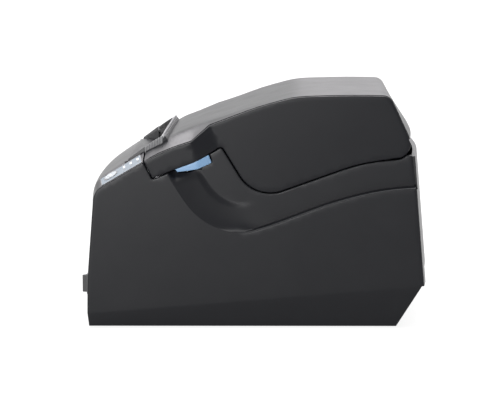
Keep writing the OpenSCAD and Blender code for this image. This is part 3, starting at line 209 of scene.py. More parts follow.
def outward(obj):
    """Makes the faces of a closed mesh point outwards."""
    bm = bmesh.new()
    bm.from_mesh(obj.data)
    bmesh.ops.remove_doubles(bm, verts=bm.verts, dist=1e-6)
    bmesh.ops.recalc_face_normals(bm, faces=bm.faces)
    bm.to_mesh(obj.data)
    bm.free()
    return obj


def carved(obj, *cutters):
    """The piece with closed cutters taken out of it."""
    for solid in cutters:
        tool = outward(linked("cutter", raw_mesh("cutter", *solid)))
        cut = obj.modifiers.new("cut", "BOOLEAN")
        cut.operation, cut.object, cut.solver = "DIFFERENCE", tool, "EXACT"
        bpy.context.view_layer.update()
        made = bpy.data.meshes.new_from_object(
            obj.evaluated_get(bpy.context.evaluated_depsgraph_get()))
        obj.modifiers.remove(cut)
        obj.data = made
        bpy.data.objects.remove(tool)
    return obj


def softened(obj, width, segments=2):
    """Moulded edges on a piece, and on a CAD node whose mesh it leaves as it is."""
    bevel = obj.modifiers.new("edges", "BEVEL")
    bevel.width = width * MM
    bevel.segments = segments
    bevel.limit_method = "ANGLE"
    bevel.angle_limit = math.radians(30)
    bevel.use_clamp_overlap = True
    obj.modifiers.new("shading", "WEIGHTED_NORMAL").keep_sharp = True
    return obj


def plate_mesh(outline, creases, front, back, grid=GRID):
    """A plate over a side-view outline: front and back give its two X faces at (y, z) points."""
    pts = [tuple(p) for p in outline]
    edges = [(i, (i + 1) % len(pts)) for i in range(len(pts))]
    for line in creases:
        last = None
        for point, ok in zip(line, inside(line, outline)):
            if not ok:
                last = None
                continue
            pts.append(tuple(point))
            if last is not None:
                edges.append((last, len(pts) - 1))
            last = len(pts) - 1
    fixed = np.array(pts)
    lo, hi = fixed.min(0), fixed.max(0)
    ys, zs = np.meshgrid(np.arange(lo[0] + grid / 2, hi[0], grid),
                         np.arange(lo[1] + grid / 2, hi[1], grid))
    filler = np.stack([ys.ravel(), zs.ravel()], 1)
    filler = filler[inside(filler, outline)]
    far_off = np.ones(len(filler), bool)
    for chunk in np.array_split(fixed, max(1, len(fixed) // 400)):
        d = np.linalg.norm(filler[:, None] - chunk[None], axis=2).min(1)
        far_off &= d > grid * 0.4
    pts += [tuple(p) for p in filler[far_off]]
    made = delaunay_2d_cdt([Vector(p) for p in pts], edges, [], 0, 1e-4)
    flat = np.array([(v.x, v.y) for v in made[0]])
    tris = np.array([f for f in made[2] if len(f) == 3])
    tris = tris[inside(flat[tris].mean(1), outline)]
    used = np.unique(tris)
    remap = -np.ones(len(flat), int)
    remap[used] = np.arange(len(used))
    flat, tris = flat[used], remap[tris]
    n = len(flat)
    verts = [(x, y, z) for face in (front, back) for x, (y, z) in zip(face(flat), flat)]
    faces = [tuple(t) for t in tris] + [tuple(t[::-1] + n) for t in tris]
    seen = dict.fromkeys(e for a, b, c in tris for e in ((a, b), (b, c), (c, a)))
    faces += [(b, a, a + n, b + n) for a, b in seen if (b, a) not in seen]
    return verts, faces


def mirrored(verts, faces):
    return [(-x, y, z) for x, y, z in verts], [tuple(f[::-1]) for f in faces]


def shell_mesh(rows, thickness, keep=None):
    """A skin through rows of (x, y, z) points, thickened downwards along its normals."""
    grid = np.array(rows, float)
    r, c = grid.shape[:2]
    du, dv = np.gradient(grid, axis=1), np.gradient(grid, axis=0)
    normal = np.cross(du, dv)
    normal /= np.maximum(np.linalg.norm(normal, axis=2), 1e-9)[..., None]
    low = grid - normal * thickness
    cells = {(j, i) for j in range(r - 1) for i in range(c - 1) if keep is None or keep(j, i)}
    verts = [tuple(p) for p in grid.reshape(-1, 3)] + [tuple(p) for p in low.reshape(-1, 3)]
    n = r * c
    faces = []
    for j, i in sorted(cells):
        a, b, d, e = j * c + i, j * c + i + 1, (j + 1) * c + i + 1, (j + 1) * c + i
        faces += [(a, b, d, e), (a + n, e + n, d + n, b + n)]
        for (p, q), other in (((a, b), (j - 1, i)), ((b, d), (j, i + 1)),
                              ((d, e), (j + 1, i)), ((e, a), (j, i - 1))):
            if other not in cells:
                faces.append((q, p, p + n, q + n))
    used = sorted({v for f in faces for v in f})
    remap = {v: k for k, v in enumerate(used)}
    return [verts[v] for v in used], [tuple(remap[v] for v in f) for f in faces]


# ---------------------------------------------------------------- solids by section
def tube_faces(n):
    """Faces of a closed bar between two rings of n points."""
    return ([tuple(range(n))[::-1], tuple(range(n, 2 * n))]
            + [(i, (i + 1) % n, (i + 1) % n + n, i + n) for i in range(n)])


def prism(x0, x1, outline):
    """A bar along X with the given (y, z) section."""
    area = sum(a[0] * b[1] - b[0] * a[1] for a, b in zip(outline, list(outline[1:]) + [outline[0]]))
    section = list(outline) if area > 0 else list(outline)[::-1]
    return [(x, y, z) for x in (x0, x1) for y, z in section], tube_faces(len(section))


def disc(at, d, count=40):
    return [(at[0] + d / 2 * math.cos(2 * math.pi * i / count),
             at[1] + d / 2 * math.sin(2 * math.pi * i / count)) for i in range(count)]


def cuboid(x, y, z):
    return prism(x[0], x[1], [(y[0], z[0]), (y[1], z[0]), (y[1], z[1]), (y[0], z[1])])


def merged(*solids):
    """One mesh of several solids."""
    verts, faces = [], []
    for v, f in solids:
        faces += [tuple(i + len(verts) for i in face) for face in f]
        verts += v
    return verts, faces


def both(*solids):
    """Each solid and its mirror image on the other side."""
    return [s for solid in solids for s in (solid, mirrored(*solid))]


# ---------------------------------------------------------------- materials
ROUGH_SPREAD = 0.04


def plastic(name, color, rough, grain=0.22, bump=0.12, mottle=0.05, specular=0.5):
    """Moulded plastic with a fine spark-eroded grain."""
    mat = bpy.data.materials.new(name)
    mat.use_nodes = True
    nodes, links = mat.node_tree.nodes, mat.node_tree.links
    shader = nodes["Principled BSDF"]
    shader.inputs["Specular IOR Level"].default_value = specular
    coords = nodes.new("ShaderNodeTexCoord")
    fine = nodes.new("ShaderNodeTexNoise")
    fine.inputs["Scale"].default_value = 1 / (grain * MM)
    fine.inputs["Detail"].default_value = 2
    broad = nodes.new("ShaderNodeTexNoise")
    broad.inputs["Scale"].default_value = 60
    broad.inputs["Detail"].default_value = 3
    for tex in (fine, broad):
        links.new(coords.outputs["Object"], tex.inputs["Vector"])
    ramp = nodes.new("ShaderNodeMixRGB")
    ramp.inputs[1].default_value = (*[c * (1 - mottle) for c in color], 1)
    ramp.inputs[2].default_value = (*[c * (1 + mottle) for c in color], 1)
    links.new(fine.outputs["Fac"], ramp.inputs[0])
    links.new(ramp.outputs[0], shader.inputs["Base Color"])
    spread = nodes.new("ShaderNodeMapRange")
    spread.inputs["To Min"].default_value = rough - ROUGH_SPREAD
    spread.inputs["To Max"].default_value = rough + ROUGH_SPREAD
    links.new(broad.outputs["Fac"], spread.inputs["Value"])
    links.new(spread.outputs[0], shader.inputs["Roughness"])
    relief = nodes.new("ShaderNodeBump")
    relief.inputs["Strength"].default_value = bump
    relief.inputs["Distance"].default_value = 0.05 * MM
    links.new(fine.outputs["Fac"], relief.inputs["Height"])
    links.new(relief.outputs[0], shader.inputs["Normal"])
    return mat


def metal(name, color, rough, brushed):
    """Bright metal, with fine lines along X where it is brushed."""
    mat = plastic(name, color, rough, grain=0.4, bump=0.05, mottle=0.08)
    shader = mat.node_tree.nodes["Principled BSDF"]
    shader.inputs["Metallic"].default_value = 1
    if brushed:
        mapping = mat.node_tree.nodes.new("ShaderNodeMapping")
        mapping.inputs["Scale"].default_value = (0.03, 1, 1)
        coords = next(n for n in mat.node_tree.nodes if n.type == "TEX_COORD")
        mat.node_tree.links.new(coords.outputs["Object"], mapping.inputs["Vector"])
        for tex in [n for n in mat.node_tree.nodes if n.type == "TEX_NOISE"]:
            mat.node_tree.links.new(mapping.outputs[0], tex.inputs["Vector"])
    return mat


CASE_LOOK = {"rough": 0.31, "specular": 0.14}
MATERIALS = {name: plastic(name, color, **look) for name, color, look in (
    ("case_plastic", (0.0040, 0.0042, 0.0052), CASE_LOOK),
    ("panel_plastic", (0.0046, 0.0048, 0.0060), CASE_LOOK),
    # cover_plastic is the case's own plastic set darker and less glossy: painted shade for the
    # light falling off over the cover's upper rear
    ("cover_plastic", (0.0030, 0.0032, 0.0042), {"rough": 0.31, "specular": 0.125}),
    ("inner_plastic", (0.045, 0.045, 0.047), {"rough": 0.55, "specular": 0.3}),
    # The exit's raised ribs: the lips' plastic in a lighter grey, a painted highlight on the rib
    # tops
    ("rib_painted_highlight", (0.14, 0.14, 0.145), {"rough": 0.55, "bump": 0.0, "specular": 0.3}),
    ("lever_plastic", (0.074, 0.134, 0.215), {"rough": 0.38, "bump": 0.04, "specular": 0.3}),
    ("window_film", (0.062, 0.080, 0.096), {"rough": 0.38, "bump": 0.0, "specular": 0.2}),
    ("light_pipe", (0.30, 0.32, 0.33), {"rough": 0.2, "bump": 0.01}),
    ("button_plastic", (0.14, 0.155, 0.165), {"rough": 0.35, "bump": 0.0, "specular": 0.3}),
    ("switch_plastic", (0.018, 0.018, 0.019), {"rough": 0.3, "bump": 0.03}),
    ("gear_plastic", (0.75, 0.74, 0.68), {"rough": 0.4}),
    ("bush_plastic", (0.66, 0.64, 0.58), {"rough": 0.4}),
    ("foot_rubber", (0.02, 0.02, 0.02), {"rough": 0.8, "bump": 0.3}),
    ("platen_rubber", (0.025, 0.025, 0.026), {"rough": 0.65, "bump": 0.2}),
    ("head_ceramic", (0.70, 0.67, 0.58), {"rough": 0.2, "bump": 0.02}),
    ("board", (0.02, 0.17, 0.06), {"rough": 0.3, "bump": 0.05}),
    ("component", (0.02, 0.02, 0.022), {"rough": 0.45}),
    ("cable_film", (0.70, 0.68, 0.60), {"rough": 0.35, "bump": 0.03}),
)}
MATERIALS |= {name: metal(name, color, rough, brushed) for name, color, rough, brushed in (
    ("sheet_steel", (0.55, 0.56, 0.58), 0.35, True),
    ("bar_steel", (0.125, 0.125, 0.129), 0.5, True),
    ("blade_steel", (0.70, 0.71, 0.73), 0.25, True),
    ("shaft_steel", (0.62, 0.63, 0.65), 0.2, False),
    ("spring_steel", (0.50, 0.51, 0.53), 0.3, False),
    ("screw_steel", (0.45, 0.46, 0.48), 0.35, False),
    ("head_aluminium", (0.60, 0.61, 0.63), 0.4, True),
    ("motor_can", (0.30, 0.31, 0.33), 0.4, False),
    ("pinion_brass", (0.70, 0.52, 0.20), 0.3, False),
)}

SLOTS = {part["node"]: part["material_slot"] for part in frame["record"]["subparts"]}
for node_name, node in frame["nodes"].items():
    node.data.materials.clear()
    node.data.materials.append(MATERIALS[SLOTS[node_name]])

# Soft edges on the CAD parts that show, from outside or with the cover open
for width, names in ((0.4, ("base_tray", "roll_bucket")), (0.35, ("switch_bezel",)),
                     (0.3, ("power_rocker", "rubber_feet", "cover_liner", "gear_cover")),
                     (0.2, ("power_inlet",)),
                     (0.15, ("interface_plate", "feed_button", "drawer_socket", "serial_socket")),
                     (0.1, ("usb_socket", "chassis", "platen_gear"))):
    for node_name in names:
        cad = frame["nodes"][node_name]
        cad.modifiers.new("joined", "WELD").merge_threshold = 0.001 * MM
        softened(cad, width)

# ---------------------------------------------------------------- outlines of the side view
NOSE = (FRONT_Y + 4.6, EXIT_Z - 16.8, 10)
LOW_EDGE = rounded([
    (FRONT_Y + 1, 0, 0), (FRONT_Y, 9, 0), (FRONT_Y + 0.3, 28, 140), NOSE,
    (EXIT_Y + 11.7, EXIT_Z + 7, 100), (EXIT_Y + 27.5, EXIT_Z + 11.9, 0),
])
TOP_EDGE = rounded([
    (EXIT_Y + 12.7, TOP_Z - 26.7, 0), (FRONT_Y + 99.5, TOP_Z - 6.6, 150),
    (FRONT_Y + 121, TOP_Z - 0.8, 60), (REAR_Y - 41.5, TOP_Z, 400),
    (REAR_Y - 20.3, TOP_Z - 0.4, 6.5), (REAR_Y - 9.2, TOP_Z - 24, 30),
    (REAR_Y - 7.2, TOP_Z - 35.7, 0),
])
LEVER_FRONT = (EXIT_Y + 18.6, EXIT_Z - 4.5)
LEVER_REAR = (EXIT_Y + 37.4, EXIT_Z + 4.2)
HORN_TOP = (EXIT_Y + 44.8, EXIT_Z + 8.3)
VALLEY = (FRONT_Y + 97.3, EXIT_Z - 23.2)


def value_at(y, table):
    """The height at y from (y, height) points in the order of y."""
    return float(np.interp(y, *zip(*table)))


def low_z(y):
    return value_at(y, [p for p in LOW_EDGE if p[1] > NOSE[1]])


def high_z(y):
    return value_at(y, [p for p in TOP_EDGE if p[1] > TOP_Z - 27])


# The seam between cover and case, and the case's own edge, which leaves room for the lever
SEAM_LINE = rounded([
    (EXIT_Y, EXIT_Z + 30, 0), (EXIT_Y, EXIT_Z, 1.2), (EXIT_Y + 5.1, EXIT_Z - 9.9, 1.2),
    (*LEVER_FRONT, 4), (EXIT_Y + 29.4, EXIT_Z - 0.9, 6), (*HORN_TOP, 2), (*VALLEY, 21),
    (REAR_Y - 37.5, EXIT_Z - 1.6, 100), (REAR_Y + 10, EXIT_Z + 4.7, 0),
])
CASE_SEAM = rounded([
    (EXIT_Y, EXIT_Z + 30, 0), (EXIT_Y, EXIT_Z, 0.5), (EXIT_Y + 5.1, EXIT_Z - 9.9, 1.2),
    (LEVER_FRONT[0] - 0.6, LEVER_FRONT[1] - 0.3, 0), (EXIT_Y + 20.8, EXIT_Z - 6.1, 0),
    (EXIT_Y + 26.2, EXIT_Z - 5.9, 3), (LEVER_REAR[0] + 2, EXIT_Z - 0.4, 0),
    (LEVER_REAR[0] + 0.4, LEVER_REAR[1], 0), (*HORN_TOP, 2), (*VALLEY, 21),
    (REAR_Y - 37.5, EXIT_Z - 1.6, 100), (REAR_Y + 10, EXIT_Z + 4.7, 0),
])
REAR_EDGE = [
    (REAR_Y - 7.2, TOP_Z - 35.7), (REAR_Y - 3.6, TOP_Z - 66.6), (REAR_Y, 25.4),
    (REAR_Y - 1.1, 25), (REAR_Y - 16.6, 0),
]
# Outer and inner edge of the sunken band that sweeps round from the lever to the rear
WAVE = spline([
    (-56, 99.5), (-50.6, 90.3), (-45.4, 81.7), (-37.8, 70.6), (-30, 63.4), (-21.5, 58.8),
    (-13, 56.7), (-6, 56.6), (2, 58.6), (14.5, 62.8), (38.9, 71.9), (52.3, 76), (64, 79),
    (75.5, 81.1), (86, 82.2), (104, 83),
], 1.2)
INNER_WAVE = spline([
    (-37.5, 99.5), (-32.5, 90.4), (-28.9, 84.3), (-24.8, 79), (-19.1, 74.6), (-12.9, 72.2),
    (-7, 71.8), (0, 73.8), (7.3, 76.5), (16, 79.2), (26, 82.5),
], 1.2)


def clean_outline(points, least=0.05):
    """The outline without points that all but coincide."""
    out = []
    for p in points:
        if not out or math.dist(p, out[-1]) > least:
            out.append(tuple(p))
    if math.dist(out[0], out[-1]) < least:
        out.pop()
    return out


# ---------------------------------------------------------------- side panels of the case
def rim_drop(d, radius):
    """How far a surface sinks at a distance d inside a rounded edge."""
    d = np.clip(d, 0, radius)
    return radius - np.sqrt(np.maximum(0, radius ** 2 - (radius - d) ** 2))


def loop_distance(points, outline):
    closed = list(outline) + [outline[0]]
    return np.abs(signed_distance(points, closed))


EDGE_R = 0.7
RIM_LINES = (0.12, 0.28, 0.48, 0.75)


def rim_creases(outline):
    closed = list(outline) + [outline[0], outline[1]]
    return [shifted(closed, d) for d in RIM_LINES]


def swing_arc(radius, start, end, count):
    """Points on a circle round the cover's hinge, by angle from straight down to the rear."""
    return [(HINGE_Y + radius * math.sin(t), HINGE_Z - radius * math.cos(t))
            for t in np.linspace(start, end, count)]


def side_outline(line):
    """The side panel's outline: front, top edge, seam, rear and bottom, anticlockwise from +X."""
    front = [p for p in LOW_EDGE if p[0] < EXIT_Y and p[1] > BODY_Z]
    front = [(FRONT_Y + 0.87, BODY_Z)] + front + [(EXIT_Y, low_z(EXIT_Y))]
    seam = [p for p in line if p[1] < EXIT_Z + 20 and p[0] < HINGE_Y + 0.6
            and (p[1] < low_z(EXIT_Y) - 0.2 or p[0] > EXIT_Y + 0.1)]
    turn = swing_arc(SWING_R + SEAM, 0.15, 0.76, 6)
    rear = [(REAR_Y - 7.4, turn[-1][1] + 0.1)] + [p for p in REAR_EDGE[1:] if p[1] > BODY_Z]
    last = (REAR_Y - 16.6 + BODY_Z * 15.5 / 25, BODY_Z)
    path = front + seam + turn + rear + [last]
    return clean_outline(resampled(path + [path[0]], LINE_STEP)[::-1])


SIDE, SIDE_LEFT = side_outline(CASE_SEAM), side_outline(SEAM_LINE)
SKIRT_LINE = [(FRONT_Y - 2, 8.9), (REAR_Y + 2, 25.6)]
SKIRT_SLOPE = math.tan(math.radians(5))
SKIRT_SOFT = math.sqrt(0.8)
BAND_START = [(z, y) for y, z in WAVE if y < -9][::-1]
BAND_RUN = 44.0
LEDGE_W = 0.45
LEDGE_R = 1.3
INNER_LEDGE_W = 4.0


def band_depth(flat):
    """The sunken band: it ramps down from its front edge and levels out towards the rear."""
    start = np.interp(flat[:, 1], *zip(*BAND_START))
    run = np.clip((flat[:, 0] - start) / BAND_RUN, 0, 1)
    return STEP * (1 - (1 - run) ** 2.2)


def side_front(flat, outline=SIDE, scoop=1):
    """Outer face of a side panel; a scoop under the lever is on the right side only."""
    to_wave = signed_distance(flat, WAVE)
    to_inner = signed_distance(flat, INNER_WAVE)
    depth = band_depth(flat)
    depth = depth + (STEP - depth) * smooth(to_inner / INNER_LEDGE_W + 0.5)
    under_lever = smooth((flat[:, 1] - 83.8 - (flat[:, 0] + 45) * 0.1) / 9)
    pocket = scoop * under_lever * smooth((to_wave - 0.2) / 3) * smooth((-to_inner + 3.5) / 2.5)
    depth = depth + (STEP + 0.15 - depth) * pocket
    lip = np.clip(to_wave + LEDGE_R, 0, LEDGE_R)
    lip = (LEDGE_R - np.sqrt(LEDGE_R ** 2 - lip ** 2)) * np.minimum(1, depth / LEDGE_R)
    below = np.maximum(0, -signed_distance(flat, SKIRT_LINE))
    skirt = np.sqrt(below ** 2 + SKIRT_SOFT ** 2) - SKIRT_SOFT
    x = HALF_W - lip - (depth - lip) * smooth(to_wave / LEDGE_W) - skirt * SKIRT_SLOPE
    return x - rim_drop(loop_distance(flat, outline), EDGE_R)


def side_back(flat):
    """Inner face of a side panel, with the rebate for the front's skin along its top edge."""
    lowest = np.where(signed_distance(flat, WAVE) > -WALL, INNER_W - WALL, HALF_W - WALL)
    below = np.maximum(0, -signed_distance(flat, SKIRT_LINE))
    plain = np.minimum(lowest, HALF_W - WALL - below * SKIRT_SLOPE)
    rim = smooth((REBATE - np.abs(signed_distance(flat, LOW_EDGE[1:]))) / 0.1 + 0.5)
    rim = rim * (flat[:, 0] < EXIT_Y + 1)
    return plain + rim * np.maximum(0, SKIN_X + FIT - plain)


WAVE_LINES = (-1.3, -1.0, -0.75, -0.5, -0.3, -0.14, 0, 0.1, 0.2, 0.3, 0.45, 0.8)
INNER_LINES = (-2.2, -1.5, -0.8, 0, 0.8, 1.5, 2.2)
side_creases = ([shifted(WAVE, d) for d in WAVE_LINES]
                + [shifted(INNER_WAVE, d) for d in INNER_LINES]
                + [resampled(shifted(SKIRT_LINE, d), 3) for d in (-3, -1.2, -0.4, 0.3)]
                + [shifted(LOW_EDGE[1:], -REBATE + d) for d in (-0.06, 0.06)]
                + [[(-50 + i, 80 + j * 1.5) for i in range(24)] for j in range(9)])
right_side = piece(
    "case_side_right",
    plate_mesh(SIDE, rim_creases(SIDE) + side_creases, side_front, side_back),
    "printer_body", "case_plastic", ("main_case",), sharp=50)
piece("case_side_left",
      mirrored(*plate_mesh(SIDE_LEFT, rim_creases(SIDE_LEFT) + side_creases,
                           lambda flat: side_front(flat, SIDE_LEFT, 0), side_back)),
      "printer_body", "case_plastic", sharp=50)

# ---------------------------------------------------------------- rear wall of the case
def bulge_at(x):
    return BULGE * (1 - (x / HALF_W) ** 2)


REAR_LEAN = math.atan2(3.6, TOP_Z - 66.6 - 25.4)
CABLE_TOP = 34.0
REAR_BULGE = BULGE + (CABLE_TOP - 25.4) * math.tan(REAR_LEAN)
REAR_R = (HALF_W ** 2 + REAR_BULGE ** 2) / 2 / REAR_BULGE
CABLE_X = HALF_W - 17
HINGE_DROP = 8.0
DECK_Z = VALLEY[1] - 3
LUG_X = INNER_W - WALL - 8


def rear_y(x, z):
    """Depth of the rear wall's bulged and leaning outer face."""
    mid_y = (REAR_EDGE[1][0] + REAR_Y) / 2 + REAR_BULGE
    mid_z = (REAR_EDGE[1][1] + 25.4) / 2
    along = (z - mid_z) / math.cos(REAR_LEAN)
    back = math.sqrt(REAR_R ** 2 - x * x) - REAR_R
    return mid_y + back * math.cos(REAR_LEAN) - along * math.sin(REAR_LEAN)


wall_xs = sorted({round(float(x), 3) for x in np.concatenate([
    np.linspace(-CABLE_X, CABLE_X, 37), np.linspace(CABLE_X, HALF_W - 1, 7),
    -np.linspace(CABLE_X, HALF_W - 1, 7), [-(INNER_W - WALL + 1), INNER_W - WALL + 1]])})
wall_zs = [25, 29.5, CABLE_TOP, 45, 57, 69, EXIT_Z - 16, 88, 94, HINGE_Z - HINGE_DROP]


def wall_keep(j, i):
    """The rear wall leaves out the cable opening, and the corners where the cover's sides swing."""
    x, z = abs(wall_xs[i] + wall_xs[i + 1]) / 2, (wall_zs[j] + wall_zs[j + 1]) / 2
    return not ((x < CABLE_X and z < CABLE_TOP) or (x > INNER_W - WALL + 1 and z > EXIT_Z - 16))


wall_rows = [[(x, rear_y(x, z), z) for x in wall_xs] for z in wall_zs]
lug = merged(
    prism(LUG_X, LUG_X + 3, [
        (HINGE_Y - 5, HINGE_Z), (HINGE_Y - 5, DECK_Z - 6), (REAR_Y - 3, DECK_Z - 14),
        (REAR_Y - 6.5, EXIT_Z - 3), (HINGE_Y - 1.5, HINGE_Z - SWING_R - 2),
        (HINGE_Y - 1.5, HINGE_Z - 6), (HINGE_Y + 5, HINGE_Z)]),
    prism(LUG_X, LUG_X + 3, disc((HINGE_Y, HINGE_Z), 10)))
POST_X, POST_R, POST_Z, POST_N = HALF_W - 14, 4, (7, 25), 32
posts = []
for y in (FRONT_Y + 28.3, REAR_Y - 47.5):
    section = disc((POST_X, y), 2 * POST_R, POST_N)
    posts.append(([(px, py, z) for z in POST_Z for px, py in section], tube_faces(POST_N)))
    posts.append(cuboid((POST_X, HALF_W - WALL - 0.8), (y - 1.5, y + 1.5), (9, 25)))
outward(piece("case_rear", merged(shell_mesh(wall_rows, -WALL, wall_keep), *both(lug, *posts)),
              "printer_body", "case_plastic", sharp=40))

# ---------------------------------------------------------------- front panel
SLOPE = math.atan2(EXIT_Z + 7 - NOSE[1], EXIT_Y + 11.7 - NOSE[0])
TILT = math.atan2(CROWN, SKIN_X - NOTCH_X)
PANEL_L = 25.0
SWITCH_AT, SWITCH_L, SWITCH_H = (HALF_W - 15.5, 24.8), 21.0, 15.0
NOTCH_FLOOR = (EXIT_Y + 2.7, EXIT_Z - 0.7)
RIDGE = (EXIT_Y + 11.6, EXIT_Z + 14)
NOTCH_TIP = (EXIT_Y - 10.2, EXIT_Z - 0.4)
NOTCH_LOW = (EXIT_Y - 2, EXIT_Z - 2)


def shoulder(edge, x, soft=0.10):
    """1 over the middle, falling to 0 at the side edge, with a soft bend at the notch's ends."""
    s = (edge - abs(x)) / (edge - NOTCH_X)
    return max(0.0, min(1.0, 0.5 * (s + 1 - math.sqrt((s - 1) ** 2 + soft ** 2))))


def path_normals(path):
    p = np.array(path, float)
    t = np.gradient(p, axis=0)
    t /= np.linalg.norm(t, axis=1)[:, None]
    return np.stack([-t[:, 1], t[:, 0]], 1)


def columns(edge):
    """X positions across a skin, with exact lines at the notch's ends."""
    inner = np.linspace(0.1 - NOTCH_X, NOTCH_X - 0.1, int(2 * NOTCH_X / GRID) + 1)
    outer = np.linspace(NOTCH_X, edge - GROOVE, 9)
    return np.concatenate([-outer[::-1], inner, outer])


NOTCH_FRONT_Y = NOTCH_TIP[0] - 0.8
front_path = [(FRONT_Y + 0.87, BODY_Z)]
front_path += [p for p in LOW_EDGE if p[1] > 5 and p[0] < NOTCH_FRONT_Y - 1]
front_path = resampled(front_path + [(NOTCH_FRONT_Y, low_z(NOTCH_FRONT_Y))], 2.2)
notch_row = len(front_path) - 1
front_path += resampled([front_path[-1], (EXIT_Y - 0.3, low_z(EXIT_Y - 0.3))], 0.9)[1:]
# Swelling of the front over its edge line, at the middle and at the notch's ends, by height
SWELL_Z = (70, 77, 79.5, 81.3, 83.7, 85.1, 89, 91.3, 97)
SWELL_MID = (3.8, 3.85, 4.1, 4.4, 4.8, 5.0, 5.4, 5.5, 5.6)
SWELL_END = (1.45, 1.7, 2.3, 3.05, 3.65, 4.0, 4.4, 4.5, 4.6)


def front_offset(p, x):
    """How far the front's skin at x swells over its path at p."""
    mid, end = np.interp(p[1], SWELL_Z, SWELL_MID), np.interp(p[1], SWELL_Z, SWELL_END)
    arch = max(0.0, 1 - (x / NOTCH_X) ** 2)
    return float(end * shoulder(SKIN_X, x) / 0.95 + (mid - 1.05 * end) * arch)


front_rows = []
for p, n in zip(front_path, path_normals(front_path)):
    upright = float(smooth((p[0] + 92) / 9)) if p[1] > NOSE[1] else 0.0
    way = n * (1 - upright) + np.array([0, 1 / math.cos(SLOPE)]) * upright
    offsets = [(x, front_offset(p, x)) for x in columns(SKIN_X)]
    front_rows.append([(x, p[0] + way[0] * d, p[1] + way[1] * d) for x, d in offsets])
# Between the notch's ends, the skin rolls over its front edge down to the notch's floor
tip = front_rows[notch_row]
for j in range(notch_row, len(front_rows)):
    run = front_path[j][0] - NOTCH_FRONT_Y
    near = min(run, 3.6)
    roll = 0.55 * near - 0.1 * near ** 2 - 0.17 * max(0, run - 3.6)
    front_rows[j] = [(x, y, tip[i][2] + roll) if abs(x) < NOTCH_X - 0.05 else (x, y, z)
                     for i, (x, y, z) in enumerate(front_rows[j])]
front = outward(piece("front_shell", shell_mesh(front_rows, SKIN_T), "printer_body",
                      "panel_plastic", ("front_panel",), sharp=40))


def on_shoulder(x, y, z):
    """A point of the indicator panel's frame: +X across it, +Y up the slope, +Z out of it."""
    at_x = (SKIN_X + NOTCH_X) / 2 + 0.6
    at_y = EXIT_Y - 1.5 - PANEL_L / 2 * math.cos(SLOPE)
    rise = CROWN * max(0, min(1, (SKIN_X - at_x) / (SKIN_X - NOTCH_X)))
    u, w = x * math.cos(TILT) + z * math.sin(TILT), -x * math.sin(TILT) + z * math.cos(TILT)
    return (at_x + u, at_y - rise * math.sin(SLOPE) + y * math.cos(SLOPE) - w * math.sin(SLOPE),
            low_z(at_y) + rise * math.cos(SLOPE) + y * math.sin(SLOPE) + w * math.cos(SLOPE))


def shoulder_solid(outline, z0, z1):
    """A solid on the indicator panel over an (x, y) outline in its frame."""
    return [on_shoulder(x, y, z) for z in (z0, z1) for x, y in outline], tube_faces(len(outline))


def rectangle(x0, x1, y0, y1):
    return [(x0, y0), (x1, y0), (x1, y1), (x0, y1)]


def inset(d):
    """The indicator panel's outline in its frame, drawn in by d: it narrows to the front."""
    y0, y1 = -PANEL_L / 2 - 0.9 + d, PANEL_L / 2 + 0.9 - d
    return [(-3.4 + d, y0), (6.2 - d, y0), (6.2 - d, y1), (-4.7 + d, y1)]


def span(middle, half):
    return middle - half, middle + half


SWITCH_GAP = 1.2
carved(front,
       shoulder_solid(inset(0), -5, 6),
       cuboid(span(SWITCH_AT[0], SWITCH_L / 2 - SWITCH_GAP), span(FRONT_Y, 12),
              span(SWITCH_AT[1], SWITCH_H / 2 - SWITCH_GAP)))
front.data.set_sharp_from_angle(angle=math.radians(30))
softened(front, 0.3)


def moved(point, dy, dz):
    return (point[0] + dy, point[1] + dz)


exit_trim = merged(
    prism(-NOTCH_X - 1, NOTCH_X + 1, [
        moved(NOTCH_TIP, 0, -1.5), moved(NOTCH_LOW, 0, -1), (EXIT_Y - 0.8, EXIT_Z - 3),
        (EXIT_Y - 0.8, EXIT_Z - 4), (EXIT_Y - 3, EXIT_Z - 4), moved(NOTCH_TIP, 1, -3)]),
    *both(prism(NOTCH_X, NOTCH_X + 1.8, [
        moved(NOTCH_TIP, -2, -1), moved(NOTCH_LOW, 0, -2), (EXIT_Y - 0.8, EXIT_Z - 4),
        (EXIT_Y - 0.8, EXIT_Z + 3), moved(NOTCH_TIP, 1, 0)])))
softened(piece("exit_floor", exit_trim, "printer_body", "panel_plastic"), 0.25)

# ---------------------------------------------------------------- cover
def unit(t):
    return max(0.0, min(1.0, t))


def rising(y):
    return unit((y - RISE_Y) / (FULL_Y - RISE_Y))


def edge_x(y):
    return SKIN_X + (ROOF_X - SKIN_X) * rising(y)


RIDGE_FRONT = EXIT_Y + 9.8
REAR_Z0 = TOP_Z - 6
STEP_UP = 0.42
WING = ((EXIT_Y - 0.6, EXIT_Z + 4.7), (EXIT_Y + 4.2, EXIT_Z + 6.9), (EXIT_Y + 9.2, EXIT_Z + 9.1),
        (EXIT_Y + 12.7, EXIT_Z + 10.9), (EXIT_Y + 16.2, EXIT_Z + 12.7),
        (EXIT_Y + 20.2, EXIT_Z + 14.2))
ROOF_CROWN = ((RIDGE_FRONT, 0), (EXIT_Y + 14, 1.0), (EXIT_Y + 20, 1.8), (FULL_Y - 8, 1.9),
              (FULL_Y, 1.7), (FULL_Y + 8, 1.15), (FULL_Y + 18, 0.7), (FULL_Y + 32, 0.25),
              (FULL_Y + 50, 0.0))


def step_up(y, z):
    """How far the roof's skin stands above the rims of the sides, as a fine step."""
    return STEP_UP * unit((y - EXIT_Y) / 4) * (unit((z - TOP_Z + 18) / 10) if y > 0 else 1.0)


def mid_z(y):
    return value_at(y, WING) if y < WING[-1][0] else high_z(y)


def rise_at(y, x):
    """How far the roof at x lies over its path at y: a crown, less the slope down to the sides."""
    crown = value_at(y, ROOF_CROWN) * shoulder(edge_x(y), x, 0.3)
    if y >= FULL_Y:
        return crown
    side_z = low_z(y) + (high_z(FULL_Y) - low_z(RISE_Y)) * rising(y)
    soft = 0.1 + 0.3 * unit((y - RIDGE_FRONT) / 10)
    return crown - (mid_z(y) - side_z) * (1 - shoulder(edge_x(y), x, soft))


